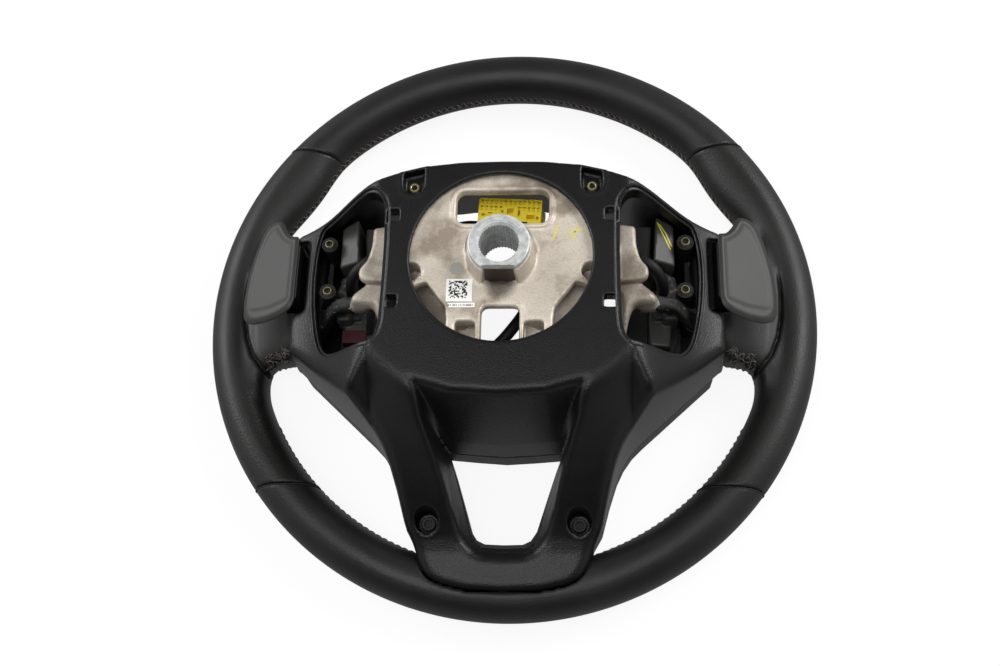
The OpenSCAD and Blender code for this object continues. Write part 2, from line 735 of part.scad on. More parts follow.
// Bracket that holds the hinge pin and takes the two screws
carrier_z = 24;
carrier_x = 105.4;
carrier_foot = front_z + trim_wall + seat;
module paddle_carrier(hand) {
    low = stem_y[0] - run_gap - lug_t;
    high = stem_y[1] + run_gap + lug_t;
    mirror([hand < 0 ? 1 : 0, 0, 0]) difference() {
        union() {
            translate([carrier_x, low, carrier_foot]) cube([2.4, high - low, hinge_z + 5 - carrier_foot]);
            for (y = [low, high - lug_t]) translate([carrier_x, y, hinge_z - 7])
                cube([hinge_x - carrier_x + 4.6, lug_t, 12]);
            for (p = [carrier_screw_top, carrier_screw_low])
                translate([p[0], p[1], carrier_z]) cylinder(r = 4.8, h = carrier_boss_z - carrier_z, $fn = 40);
        }
        for (p = [carrier_screw_top, carrier_screw_low]) translate([p[0], p[1], carrier_boss_z - 14])
            cylinder(d = 3.1, h = 20, $fn = 24);
        translate([hinge_x, low - 1, hinge_z]) rotate([-90, 0, 0])
            cylinder(d = pin_d + 0.04, h = high - low + 2, $fn = 32);
    }
}
module paddle_carrier_left() { color("#171717") paddle_carrier(-1); }
module paddle_carrier_right() { color("#171717") paddle_carrier(1); }

// Fasteners

// Pan head on a plain shank, with a round socket in the head
module screw(head_d, head_h, shank_d, shank_l, socket_d) {
    difference() {
        union() {
            cylinder(d = head_d, h = head_h, $fn = 32);
            translate([0, 0, -shank_l]) cylinder(d = shank_d, h = shank_l + 0.5, $fn = 24);
        }
        translate([0, 0, head_h - 1.3]) cylinder(d = socket_d, h = 3, $fn = 24);
    }
}

module cover_screws_upper() {
    color("#c9b35c") mirrored() translate([upper_screw[0], upper_screw[1], face_z - 8.5 + seat])
        screw(6, 2.6, 4, 14, 2.9);
}
module cover_screws_lower() {
    color("#55534c") mirrored() translate([lower_screw[0], lower_screw[1], well_floor_z + 3 + seat])
        screw(8.4, 3, 4, 12, 4.2);
}
module carrier_screws(hand) {
    color("#8d8a83") for (p = [carrier_screw_top, carrier_screw_low])
        translate([hand * p[0], p[1], carrier_boss_z + seat]) screw(5, 1.8, 3, 11, 2.4);
}
module carrier_screws_left() { carrier_screws(-1); }
module carrier_screws_right() { carrier_screws(1); }

// Wiring

connector_h = 20;
connector_w = 19;
connector_top = 84;
connector_mid = [2.8, 34.5];
module wiring_connector() {
    color("#f2c512") translate([connector_mid[0], connector_mid[1], connector_top - connector_h]) rotate([0, 0, -2.5])
        difference() {
            union() {
                translate([-connector_l / 2, -connector_w / 2, 0]) cube([connector_l, connector_w, connector_h]);
                translate([-connector_l / 2 - 1.2, -connector_w / 2, 0]) cube([connector_l + 2.4, connector_w, 4]);
            }
            // Two rows of terminal chambers
            for (i = [0 : 12], j = [0 : 1]) translate([(i - 6) * (connector_l - 4) / 12,
                connector_w / 2 - 2.6 - 4.2 * j, connector_h - 3]) cube([1.5, 1.8, 8], center = true);
            // Keyways
            translate([0.5, -connector_w / 2 + 4.6, connector_h - 3]) cube([3, 3.4, 8], center = true);
            translate([11.6, -connector_w / 2 + 2.4, connector_h - 3]) cube([4.6, 2.6, 8], center = true);
        }
}

// Clip that hangs the connector from the hub plate
module connector_clip() {
    low = connector_top - connector_h;
    color("#1a1a1a") {
        translate([-10, connector_mid[1] - connector_w / 2 - 4, low - 2.5])
            cube([24, 2.4, plate_z - plate_t - seat - low + 2.5]);
        translate([-10, connector_mid[1] - connector_w / 2 - 4, low - 2.5]) cube([24, connector_w + 4, 2.4]);
    }
}

// Tube along a route, eight sides
function ahead(p, i) = let (v = p[min(i + 1, len(p) - 1)] - p[max(i - 1, 0)]) v / norm(v);
function tube_ring(c, dir, r) = let (
    side = cross(dir, abs(dir[2]) > 0.9 ? [1, 0, 0] : [0, 0, 1]),
    u = side / norm(side), v = cross(dir, u))
    [for (k = [0 : 7]) c + r * (cos(45 * k) * u + sin(45 * k) * v)];
module tube(route, d) { skin([for (i = [0 : len(route) - 1]) tube_ring(route[i], ahead(route, i), d / 2)]); }

loom_left_route = [[-17.5, 36, 70], [-24, 36, 70], [-34, 34, 69], [-46, 29, 68], [-57, 24, 69], [-66, 20, 72],
    [-74, 15, 75], [-82, 9, 76], [-88, 4, 73], [-91, 0, 66], [-92, -2, 58], [-92, -2, 50.2]];
loom_right_route = [[23, 34, 70], [30, 34, 70], [38, 32, 69], [48, 28, 68], [58, 23, 69], [67, 19, 72],
    [75, 14, 75], [83, 8, 76], [88, 4, 73], [91, 0, 66], [92, -2, 58], [92, -2, 50.2]];
horn_route = [[19, 23.4, 68], [19.6, 16, 64], [18, 6, 62], [15, -6, 64], [11, -18, 66], [4, -29, 67], [-4, -38, 66],
    [-14, -45, 64], [-28, -49, 61], [-44, -48, 58], [-58, -42, 56], [-68, -34, 54], [-75, -29, 53.7],
    [-81.9, -29, 53.7]];

module loom_left() { color("#141414") tube(loom_left_route, loom_d); }
module loom_right() { color("#141414") tube(loom_right_route, loom_d); }
module horn_lead() { color("#141414") tube(horn_route, loom_d); }
module horn_plug() {
    color("#6d2222") translate([-96, -33, 50.1]) cube([14, 8, 7.4]);
}

module data_label() {
    color("#ecebe6") translate([0, 0, plate_z]) {
        translate([-29, -24.6, 0]) cube([12.8, 10.4, 0.2]);
        translate([-29.4, -28.4, 0]) cube([15.6, 3, 0.2]);
    }
}

armature();
hub_bush();
rim_foam();
leather_top();
leather_left();
leather_right();
leather_bottom();
rear_cover();
front_trim();
switch_housing_left();
switch_housing_right();
button_left_top();
button_left_middle();
button_left_bottom();
button_right_top();
button_right_middle();
button_right_bottom();
paddle_carrier_left();
paddle_carrier_right();
paddle_left();
paddle_right();
paddle_pin_left();
paddle_pin_right();
cover_screws_upper();
cover_screws_lower();
carrier_screws_left();
carrier_screws_right();
wiring_connector();
connector_clip();
loom_left();
loom_right();
horn_lead();
horn_plug();
data_label();
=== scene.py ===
import math
import bmesh
import bpy
import numpy as np
from mathutils import Matrix, Vector


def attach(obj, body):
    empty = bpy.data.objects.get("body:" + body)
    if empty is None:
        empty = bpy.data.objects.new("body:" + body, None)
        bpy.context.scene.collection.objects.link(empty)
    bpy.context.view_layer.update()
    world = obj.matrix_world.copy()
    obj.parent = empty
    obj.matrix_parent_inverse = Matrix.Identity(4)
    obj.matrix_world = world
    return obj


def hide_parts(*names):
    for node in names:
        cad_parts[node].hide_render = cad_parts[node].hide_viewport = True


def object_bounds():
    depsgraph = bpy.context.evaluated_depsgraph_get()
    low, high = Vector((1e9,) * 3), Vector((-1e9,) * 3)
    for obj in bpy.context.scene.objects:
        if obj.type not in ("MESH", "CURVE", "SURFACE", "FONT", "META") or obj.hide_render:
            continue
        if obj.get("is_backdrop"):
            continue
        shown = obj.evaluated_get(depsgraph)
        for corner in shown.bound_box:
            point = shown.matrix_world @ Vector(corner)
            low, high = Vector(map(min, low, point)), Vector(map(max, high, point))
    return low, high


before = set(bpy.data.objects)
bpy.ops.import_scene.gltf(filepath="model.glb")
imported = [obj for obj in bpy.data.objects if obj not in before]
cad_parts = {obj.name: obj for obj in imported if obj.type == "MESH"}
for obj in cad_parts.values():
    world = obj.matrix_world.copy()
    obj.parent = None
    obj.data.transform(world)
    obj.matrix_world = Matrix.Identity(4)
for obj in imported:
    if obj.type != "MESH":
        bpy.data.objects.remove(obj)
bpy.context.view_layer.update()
mm = 0.001


# Materials

def linear(code):
    parts = [int(code[i:i + 2], 16) / 255 for i in (1, 3, 5)]
    return [p / 12.92 if p <= 0.04045 else ((p + 0.055) / 1.055) ** 2.4 for p in parts] + [1.0]


def newMaterial(name, color, roughness, metallic=0.0, specular=0.5):
    material = bpy.data.materials.new(name)
    material.use_nodes = True
    surface = material.node_tree.nodes["Principled BSDF"]
    surface.inputs["Base Color"].default_value = linear(color)
    surface.inputs["Roughness"].default_value = roughness
    surface.inputs["Metallic"].default_value = metallic
    surface.inputs["Specular IOR Level"].default_value = specular
    return material, material.node_tree, surface


def addNode(tree, kind, inputs=None, **settings):
    node = tree.nodes.new(kind)
    for key, value in settings.items():
        setattr(node, key, value)
    for key, value in (inputs or {}).items():
        if isinstance(value, bpy.types.NodeSocket):
            tree.links.new(value, node.inputs[key])
        else:
            node.inputs[key].default_value = value
    return node


def mathNode(tree, operation, *values):
    return addNode(tree, "ShaderNodeMath", dict(enumerate(values)), operation=operation).outputs[0]


def remap(tree, value, low, high, outLow, outHigh):
    node = addNode(tree, "ShaderNodeMapRange", {"Value": value, "From Min": low, "From Max": high,
                                                "To Min": outLow, "To Max": outHigh})
    return node.outputs["Result"]


def grain(tree, size, detail=2.0, kind="noise"):
    place = addNode(tree, "ShaderNodeTexCoord").outputs["Object"]
    if kind == "cells":
        return addNode(tree, "ShaderNodeTexVoronoi", {"Vector": place, "Scale": 1 / size}).outputs["Distance"]
    return addNode(tree, "ShaderNodeTexNoise", {"Vector": place, "Scale": 1 / size, "Detail": detail}).outputs["Fac"]


def bump(tree, surface, height, depth, strength=1.0):
    node = addNode(tree, "ShaderNodeBump", {"Height": height, "Distance": depth, "Strength": strength})
    before = surface.inputs["Normal"].links
    if before:
        tree.links.new(before[0].from_socket, node.inputs["Normal"])
    tree.links.new(node.outputs["Normal"], surface.inputs["Normal"])


def tint(tree, surface, dark, light, mask):
    mix = addNode(tree, "ShaderNodeMix", {0: mask}, data_type="RGBA")
    mix.inputs[6].default_value = linear(dark)
    mix.inputs[7].default_value = linear(light)
    tree.links.new(mix.outputs[2], surface.inputs["Base Color"])


def leatherMaterial(name, color, light, roughness, size):
    # Pores that catch small lights, and a slow waver in the sheen
    material, tree, surface = newMaterial(name, color, roughness, specular=0.38)
    cells = grain(tree, size, kind="cells")
    bump(tree, surface, cells, 0.00012, 0.55)
    soft = grain(tree, 0.03, 3)
    bump(tree, surface, soft, 0.0006, 0.35)
    tint(tree, surface, color, light, remap(tree, soft, 0.35, 0.7, 0, 1))
    tree.links.new(remap(tree, grain(tree, 0.05, 2), 0.3, 0.7, roughness - 0.05, roughness + 0.06),
                   surface.inputs["Roughness"])
    return material


def mouldedMaterial(name, color, light, roughness, size, depth):
    # Spark grain that softens the edges of lights, with faint handling marks
    material, tree, surface = newMaterial(name, color, roughness, specular=0.32)
    bump(tree, surface, grain(tree, size, kind="cells"), depth, 0.7)
    wear = grain(tree, 0.04, 6)
    tint(tree, surface, color, light, remap(tree, wear, 0.45, 0.75, 0, 1))
    return material


def castMaterial():
    # Warm grey metal, cloudy and pitted, that darkens round its recess, with painted shade that darkens it towards its
    # lower parts
    material, tree, surface = newMaterial("Cast alloy", "#cfc4b3", 0.5, 0.35)
    stain = grain(tree, 0.02, 9)
    tint(tree, surface, "#8f8375", "#c9bfb1", remap(tree, stain, 0.36, 0.52, 0, 1))
    speck = remap(tree, grain(tree, 0.0011, 4), 0.36, 0.6, 0.84, 1.05)
    place = addNode(tree, "ShaderNodeTexCoord").outputs["Object"]
    far = addNode(tree, "ShaderNodeVectorMath", {0: place, 1: (0, -0.0165, 0.105)}, operation="DISTANCE")
    recess = remap(tree, far.outputs["Value"], 0.005, 0.0105, 0.3, 1)
    # Painted shade: parts of the casting below the plate, such as the arms and the floors under the holes, turn darker
    # and browner
    low = remap(tree, addNode(tree, "ShaderNodeSeparateXYZ", {0: place}).outputs["Z"], 0.086, 0.101, 0.55, 1)
    speckRecessAndPaintedShade = mathNode(tree, "MULTIPLY", mathNode(tree, "MULTIPLY", speck, recess), low)
    tinted = surface.inputs["Base Color"].links[0].from_socket
    brown = addNode(tree, "ShaderNodeMix", {0: speckRecessAndPaintedShade, 7: tinted}, data_type="RGBA")
    brown.inputs[6].default_value = linear("#2f241a")
    tree.links.new(brown.outputs[2], surface.inputs["Base Color"])
    bump(tree, surface, grain(tree, 0.0035, 6), 0.0003, 0.5)
    bump(tree, surface, grain(tree, 0.0013, 3), 0.00012, 0.6)
    bump(tree, surface, grain(tree, 0.012, 2), 0.0006, 0.3)
    tree.links.new(remap(tree, grain(tree, 0.009, 5), 0.3, 0.7, 0.4, 0.6), surface.inputs["Roughness"])
    return material


def steelMaterial():
    # Cool bright grey with a fine turned unevenness
    material, tree, surface = newMaterial("Machined steel", "#b9bbba", 0.42, 0.25)
    tint(tree, surface, "#a3a6a6", "#c9cac8", remap(tree, grain(tree, 0.004, 5), 0.35, 0.65, 0, 1))
    bump(tree, surface, grain(tree, 0.0012, 3), 0.00006, 0.5)
    return material


materials = {
    # Soft black hide with fine pores and a broad sheen
    "leatherSmooth": leatherMaterial("Smooth leather", "#121111", "#181717", 0.44, 0.0009),
    # A coarser hide whose grain breaks up the light at the grips
    "leatherSide": leatherMaterial("Grained leather", "#131211", "#191817", 0.45, 0.0012),
    # Deep even black, a little glossier than the leather
    "cover": mouldedMaterial("Black moulded cover", "#0d0d0d", "#131312", 0.37, 0.0008, 0.00014),
    # Flat black that stays behind the cover
    "trim": mouldedMaterial("Black moulded trim", "#0e0e0e", "#121212", 0.5, 0.0007, 0.00005),
    # Dark grey that stands off from the black round it
    "housing": mouldedMaterial("Dark moulded housing", "#3a3938", "#4a4947", 0.4, 0.002, 0.00003),
    # Smooth satin grey, lighter than all the black pieces
    "paddle": mouldedMaterial("Lacquered paddle", "#2b2a29", "#2f2e2d", 0.44, 0.0005, 0.00001),
    "cast": castMaterial(),
    # Dull open pores without a highlight
    "foam": mouldedMaterial("Dark foam", "#141312", "#1c1b1a", 0.6, 0.003, 0.0004),
    "bush": steelMaterial(),
    # The one strong colour, clean and bright
    "yellow": newMaterial("Yellow plastic", "#ffe63a", 0.45)[0],
    # Pale gold glint of plated screws
    "zinc": newMaterial("Yellow zinc", "#c4bb88", 0.35, 0.8)[0],
    # Dark metal that only glints at its edges
    "darkSteel": newMaterial("Dull steel", "#1b1a19", 0.5, 0.4)[0],
    # Plain black with hardly a highlight, for black parts that lie deep, and as painted shade inside the screws'
    # sockets
    "black": newMaterial("Black plastic", "#0d0d0d", 0.5, specular=0.3)[0],
    # Matt black cloth round the leads
    "tape": newMaterial("Cloth tape", "#0c0c0d", 0.55, specular=0.3)[0],
    # Red plastic, its colour darkened as painted shade because the plug sits in shadow
    "red": newMaterial("Red plastic with painted shade", "#360c10", 0.5, specular=0.2)[0],
    # Light brown dots of the cross stitches
    "thread": newMaterial("Brown thread", "#6f645f", 0.6)[0],
    # Browner and darker where threads are bunched
    "gathered": newMaterial("Gathered thread", "#4b4541", 0.6)[0],
    # Brown film with bare streaks
    "stained": mouldedMaterial("Stained steel", "#3a2f26", "#6b5f53", 0.5, 0.0012, 0.0001),
    # Black stitches that show only as texture on the leather
    "darkThread": newMaterial("Dark thread", "#0d0c0c", 0.6)[0],
    # Clean white paper
    "label": newMaterial("White label", "#e9e8e4", 0.55)[0],
    # Dull black print
    "ink": newMaterial("Label ink", "#171717", 0.6)[0],
    # Thin opaque yellow paint
    "pen": newMaterial("Yellow paint pen", "#c8c040", 0.5)[0],
    # Faint grey wash on the metal
    "blue": newMaterial("Grey blue ink", "#96968f", 0.45, 0.2)[0],
}


# Surfaces from distance fields, in millimetres

def smoothMax(a, b, k):
    # The greater distance, with the corner between the two rounded over k
    h = np.maximum(k - np.abs(a - b), 0.0) / k
    return np.maximum(a, b) + h * h * k * 0.25


def smoothMin(a, b, k):
    return -smoothMax(-a, -b, k)


def polygonDistance(points, x, y):
    # Below zero inside the outline
    square = np.full(np.broadcast(x, y).shape, 1e12)
    inside = np.zeros(square.shape, bool)
    for (ax, ay), (bx, by) in zip(points, points[1:] + points[:1]):
        ex, ey = bx - ax, by - ay
        t = np.clip(((x - ax) * ex + (y - ay) * ey) / (ex * ex + ey * ey), 0, 1)
        square = np.minimum(square, (x - ax - ex * t) ** 2 + (y - ay - ey * t) ** 2)
        if ay != by:
            inside ^= ((ay <= y) != (by <= y)) & (x < ax + ex * (y - ay) / ey)
    return np.where(inside, -1, 1) * np.sqrt(square)


def boxDistance(x, y, halfX, halfY, r=0.0):
    qx, qy = np.abs(x) - halfX + r, np.abs(y) - halfY + r
    return np.hypot(np.maximum(qx, 0), np.maximum(qy, 0)) + np.minimum(np.maximum(qx, qy), 0) - r


def boxHole(x, y, middleX, middleY, halfX, halfY, r):
    return boxDistance(x - middleX, y - middleY, halfX, halfY, r)


def roundBox(x, y, z, half, r):
    qx, qy, qz = np.abs(x) - half[0] + r, np.abs(y) - half[1] + r, np.abs(z) - half[2] + r
    far = np.sqrt(np.maximum(qx, 0) ** 2 + np.maximum(qy, 0) ** 2 + np.maximum(qz, 0) ** 2)
    return far + np.minimum(np.maximum(np.maximum(qx, qy), qz), 0) - r


def softTable(rows, spread):
    # A smoothed curve through a table of (place, value)
    places = np.arange(rows[0][0] - 40, rows[-1][0] + 40, 0.5)
    raw = np.interp(places, [r[0] for r in rows], [r[1] for r in rows])
    weights = np.exp(-0.5 * (np.arange(-60, 61) * 0.5 / spread) ** 2)
    soft = np.convolve(np.pad(raw, 60, mode="edge"), weights / weights.sum(), mode="valid")
    return lambda s: np.interp(s, places, soft)


def bothSides(half):
    # An outline from its right half, read from bottom to top
    return list(half) + [(-x, y) for x, y in reversed(half) if x > 0.01]


def roundCorners(points, radius, steps=4):
    # Each corner becomes a short curve that starts and ends radius away from it
    out = []
    for i, corner in enumerate(points):
        c = np.array(corner, float)
        a, b = np.array(points[i - 1], float) - c, np.array(points[(i + 1) % len(points)], float) - c
        la, lb = np.linalg.norm(a), np.linalg.norm(b)
        r = min(radius, la * 0.48, lb * 0.48)
        start, end = c + a / la * r, c + b / lb * r
        for k in range(steps + 1):
            t = k / steps
            out.append(tuple((1 - t) ** 2 * start + 2 * t * (1 - t) * c + t * t * end))
    return out


def isoMesh(name, field, low, high, cell, steps=3):
    # One point in each grid cell that the surface crosses, quads between them,
    # and a few steps that draw the points onto the surface
    axes = [np.arange(a, b + cell, cell) for a, b in zip(low, high)]
    x, y, z = axes[0][:, None, None], axes[1][None, :, None], axes[2][None, None, :]
    shape = tuple(len(a) for a in axes)
    value = np.ascontiguousarray(np.broadcast_to(field(x, y, z), shape)).astype(np.float32)
    inside = value < 0
    count = np.zeros([n - 1 for n in shape], np.int8)
    for i in (0, 1):
        for j in (0, 1):
            for k in (0, 1):
                count += inside[i:shape[0] - 1 + i, j:shape[1] - 1 + j, k:shape[2] - 1 + k]
    mixed = (count > 0) & (count < 8)
    cells = np.argwhere(mixed)
    number = np.full(mixed.shape, -1, np.int64)
    number[mixed] = np.arange(len(cells))
    total, hits = np.zeros((len(cells), 3)), np.zeros(len(cells))
    unit = np.eye(3, dtype=int)
    for axis in range(3):
        u, w = unit[(axis + 1) % 3], unit[(axis + 2) % 3]
        for corner in (0 * u, u, w, u + w):
            a = cells + corner
            b = a + unit[axis]
            va, vb = value[tuple(a.T)], value[tuple(b.T)]
            cross = (va < 0) != (vb < 0)
            t = va[cross] / (va[cross] - vb[cross])
            total[cross] += a[cross] + t[:, None] * unit[axis]
            hits[cross] += 1
    points = np.array(low) + cell * total / hits[:, None]
    quads = []
    for axis in range(3):
        u, w = (axis + 1) % 3, (axis + 2) % 3
        a = np.moveaxis(inside, (axis, u, w), (0, 1, 2))
        n = np.moveaxis(number, (axis, u, w), (0, 1, 2))
        change = a[:-1, 1:-1, 1:-1] != a[1:, 1:-1, 1:-1]
        i, j, k = np.nonzero(change)
        quad = np.stack([n[i, j, k], n[i, j + 1, k], n[i, j + 1, k + 1], n[i, j, k + 1]], axis=1)
        out = a[:-1, 1:-1, 1:-1][change]
        quads.append(np.where(out[:, None], quad, quad[:, ::-1]))
    quads = np.concatenate(quads)
    h = 0.04
    for _ in range(steps):
        p = points.T
        f0 = field(*p)
        slope = np.stack([(field(*(p + np.eye(3)[:, [i]] * h)) - f0) / h for i in range(3)], axis=1)
        size = np.maximum((slope ** 2).sum(axis=1), 0.05)
        move = (f0 / size)[:, None] * slope
        length = np.linalg.norm(move, axis=1, keepdims=True)
        points = points - move * np.minimum(1, cell * 0.4 / np.maximum(length, 1e-9))
    return meshObject(name, points * mm, quads)


def meshObject(name, points, faces, smooth=True):
    mesh = bpy.data.meshes.new(name)
    mesh.from_pydata([tuple(p) for p in points], [], [tuple(int(i) for i in f) for f in faces])
    mesh.validate()
    if smooth:
        mesh.polygons.foreach_set("use_smooth", [True] * len(mesh.polygons))
    thing = bpy.data.objects.new(name, mesh)
    bpy.context.scene.collection.objects.link(thing)
    return thing


def finish(thing, material, body="wheel", stands=()):
    # stands names the CAD nodes that the piece takes the place of
    thing.data.materials.clear()
    thing.data.materials.append(materials[material])
    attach(thing, body)
    if stands:
        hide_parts(*stands)
    return thing


hands = (("left", -1), ("right", 1))

# Rim

rim = {
    "ring": 172.5, "outer": 15.0, "inner": 15.5, "deep": 16.5, "mid": 16.5,
    "seamHeight": 0.9, "seamWidth": 1.1, "foldDeep": 2.4, "foldLow": 17, "foldHigh": 27,
    "rootStart": 126.2, "rootEnd": 172, "rootPower": 2.8, "gather": (138, -40), "gatherDeep": 0.5,
    "grip": [(20, 0), (24, 2.6), (28, 5.0), (32, 5.9), (36, 5.2), (40, 2.6), (44, 0.4), (47, 0)],
    "upperSeam": (108.4, 107.1, 0.164), "lowerSeam": (113.2, -109.4, -0.073),
}
# Spoke root: distance out, lower edge, upper edge, front, back
spokeRoot = [(116, -30, 24.4, 17, 60.5), (124.6, -35.6, 26.8, 15.8, 57.4), (131, -38.2, 28.3, 13, 53.7),
             (138, -36.9, 29.5, 10.5, 47), (146, -38.6, 34, 7.5, 39.5), (154, -46, 42.6, 5.3, 34.2),
             (164, -59, 58.5, 4.4, 29.6), (172, -64, 62, 6, 26)]
foldLine = [(163.5, 30), (164.6, 8), (163.6, -8), (161, -20), (156.5, -31), (150.4, -38.6), (146, -43)]
gripSwell = softTable(rim["grip"], 2.2)
rootLow, rootHigh, rootFront, rootBack = (softTable([(r[0], r[i]) for r in spokeRoot], 2.5) for i in (1, 2, 3, 4))


def rimField(x, y, z):
    r = np.hypot(x, y)
    angle = np.degrees(np.arctan2(y, np.abs(x)))
    a, b = r - rim["ring"], z - rim["mid"]
    wide = np.where(a > 0, rim["outer"], rim["inner"] + gripSwell(angle))
    tube = (np.sqrt((a / wide) ** 2 + (b / rim["deep"]) ** 2) - 1) * rim["inner"]
    # Sewn seam along the inner side of the ring
    tube = tube + rim["seamHeight"] * np.exp(-(b / rim["seamWidth"]) ** 2) * (a < 0)
    ax = np.abs(x)
    low, high, front, back = rootLow(ax), rootHigh(ax), rootFront(ax), rootBack(ax)
    halfY, halfZ = (high - low) / 2, (back - front) / 2
    across = np.abs(y - (low + high) / 2) / halfY
    up = np.abs(z - (front + back) / 2) / halfZ
    power = rim["rootPower"]
    root = ((across ** power + up ** power) ** (1 / power) - 1) * np.minimum(halfY, halfZ) * 0.9
    root = smoothMax(root, rim["rootStart"] - ax, 0.6)
    root = np.maximum(root, ax - rim["rootEnd"])
    body = smoothMin(tube, root, 0.4 + 9 * np.clip((171 - r) / 12, 0, 1))
    # Fold where the leather of the spoke is tucked under the leather of the ring
    fold = np.full(np.broadcast(x, y).shape, 1e4)
    for (x0, y0), (x1, y1) in zip(foldLine, foldLine[1:]):
        ex, ey = x1 - x0, y1 - y0
        t = np.clip(((ax - x0) * ex + (y - y0) * ey) / (ex * ex + ey * ey), 0, 1)
        fold = np.minimum(fold, (ax - x0 - ex * t) ** 2 + (y - y0 - ey * t) ** 2)
    # Leather gathered at the foot of the spoke
    near = np.exp(-((ax - rim["gather"][0]) ** 2 / 70 + (y - rim["gather"][1]) ** 2 / 40))
    ripple = np.sin(ax * 1.3 + y * 0.9) * np.sin(y * 1.25 - ax * 0.5)
    body = body + rim["gatherDeep"] * near * ripple
    fade = np.clip((z - rim["foldLow"]) / 4, 0, 1) * np.clip((rim["foldHigh"] - y) / 12, 0, 1)
    return body + rim["foldDeep"] * np.exp(-fold / 0.9) * fade


def seamDistance(x, y, seam):
    # Above zero on the far side of a sewn joint, seen from three o'clock
    return (y - seam[1] - seam[2] * (np.abs(x) - seam[0])) / math.hypot(1, seam[2])


panels = {"gap": 0.06, "edge": 1.1, "coverGap": 0.35, "coverTop": 29.5,
          "stem": (126, 7.5, 56), "stemHalf": (4.2, 20.5, 15)}


def panelField(part):
    def field(x, y, z):
        body = rimField(x, y, z)
        upper = seamDistance(x, y, rim["upperSeam"])
        lower = seamDistance(x, y, rim["lowerSeam"])
        gap, edge = panels["gap"], panels["edge"]
        if part == "top":
            return smoothMax(body, gap - upper, edge)
        if part == "bottom":
            pocket = np.maximum(polygonDistance(footOutline, x, y) - panels["coverGap"], panels["coverTop"] - z)
            return smoothMax(smoothMax(body, lower + gap, edge), -pocket, 0.6)
        side = x if part == "left" else -x
        body = smoothMax(smoothMax(body, upper + gap, edge), gap - lower, edge)
        # Room for the paddle's stem
        cx, cy, cz = panels["stem"]
        stem = roundBox(np.abs(x) - cx, y - cy, z - cz, panels["stemHalf"], 2)
        return smoothMax(smoothMax(body, side, 0.1), -stem, 0.5)
    return field


# Rear cover

footOutline = roundCorners(bothSides([
    (0, -173.1), (22, -171.9), (37, -168.3), (44.5, -164.1), (48.4, -156), (51.8, -145.5), (56.3, -137.4),
    (60.6, -120.6), (65, -106.5), (69, -97.9), (74, -90.5), (80, -84.3), (125, -42.4), (128, -40.5), (128, 33),
    (125, 35.2), (111, 39.2), (93, 45.2), (76, 50.6), (62, 55.8), (44, 60.3), (24, 62.5), (0, 63)]), 4)
cover = {"face": 110.5, "parting": 28.0, "topEdge": 41.5, "wall": 2.8, "draft": 0.052, "hub": 50.6,
         "middle": -70.6, "crease": 8, "edge": 2.4, "lowerEdge": 4, "veeEdge": 4.5, "openHalf": 70, "openFrom": 30,
         "leatherEnd": (133, -3.9, 8.8, 34.1, 1), "leatherTop": 59.5,
         "stemSlot": (127.5, 5.5, 10, 22.5, 2.5), "stemLow": 40}
wells = {"outer": 8.8, "inner": 6.8, "hole": 2.3, "floor": 27.4, "seat": 30.4}
notches = {"half": (5.75, 14.75), "corner": 5.7, "up": 9, "clear": 1.7, "wall": 2.5, "floor": 99.2, "seat": 102}
squares = {"places": ((60.9, 24.5), (59.9, -27.7)), "half": (3.2, 3.6), "wall": 2, "sink": 1, "floor": 100}
# How far the face falls towards the rim, and down the legs
wingFall = softTable([(60, 0), (71, 0), (76, -3.6), (80, -7.3), (85, -12), (92.5, -20.5), (100, -29), (105, -34),
                      (110, -38), (115, -41.3), (120, -44), (130, -48), (140, -50)], 1.6)
legFall = softTable([(-30, 0), (0, 0), (5, -2.5), (12, -10), (20, -19.5), (30, -32), (40, -43.5), (52, -56),
                     (65, -67), (72, -71.7), (80, -75), (90, -76.7), (112, -78.5), (130, -79)], 1.6)
veeFoot = [(0, -145.2), (10.8, -144.8), (15.4, -142.6), (18.8, -137.4), (24, -120.4), (29.4, -103), (33.4, -91.6),
           (17.3, -93), (0, -94.2)]
# Outline of the hole between the legs at each height
veeLevels = [
    (10.0, veeFoot), (26.5, veeFoot),
    (37.5, [(0, -157.3), (12, -156.4), (19.3, -152.6), (23.8, -145.6), (26.2, -124), (30.8, -104), (35.4, -89.8),
            (18, -91.6), (0, -92.8)]),
    (46.5, [(0, -161), (14, -160), (22.3, -155.5), (26.6, -147), (28.8, -125), (32.3, -104), (36.8, -88.4),
            (18.3, -90.4), (0, -91.6)]),
    (118.5, [(0, -173.4), (18.5, -172.4), (28.7, -165), (33.8, -152.6), (36.9, -126.1), (42.1, -98.4), (49.2, -68.8),
             (25.8, -76.9), (0, -78.4)])]
windowOutline = roundCorners([
    (71, -50.2), (84, -50.8), (93, -50.4), (99.8, -48.6), (104.8, -41.6), (108, -30), (110.7, -15.3), (112, 0),
    (111.8, 14), (110.7, 23.9), (108.4, 32.8), (103, 38), (90, 40.2), (75, 41.2), (70.4, 39), (67.3, 35),
    (66, 30), (65.6, 5), (65.8, -20), (66.4, -40), (68, -47)], 5)
upperScrew, lowerScrew = (50.5, 44.0), (43.1, -134.6)


foldShape = {"low": -80.7, "bend": 8.1e-5, "reach": 71.5, "fall": 1.2}


def creaseLine(x):
    # Where the hub's face folds down into the legs
    a, reach = np.abs(x), foldShape["reach"]
    return (foldShape["low"] + foldShape["bend"] * np.minimum(a, reach) ** 3
            - foldShape["fall"] * np.maximum(a - reach, 0))


def coverHeight(x, y):
    crease, middle = creaseLine(x), cover["middle"]
    s = middle - y
    for _ in range(3):
        s = crease + (middle - crease) * np.clip(s / 65, 0, 1) - y
    return smoothMin(wingFall(np.abs(x)), legFall(s), cover["crease"]) + cover["face"]


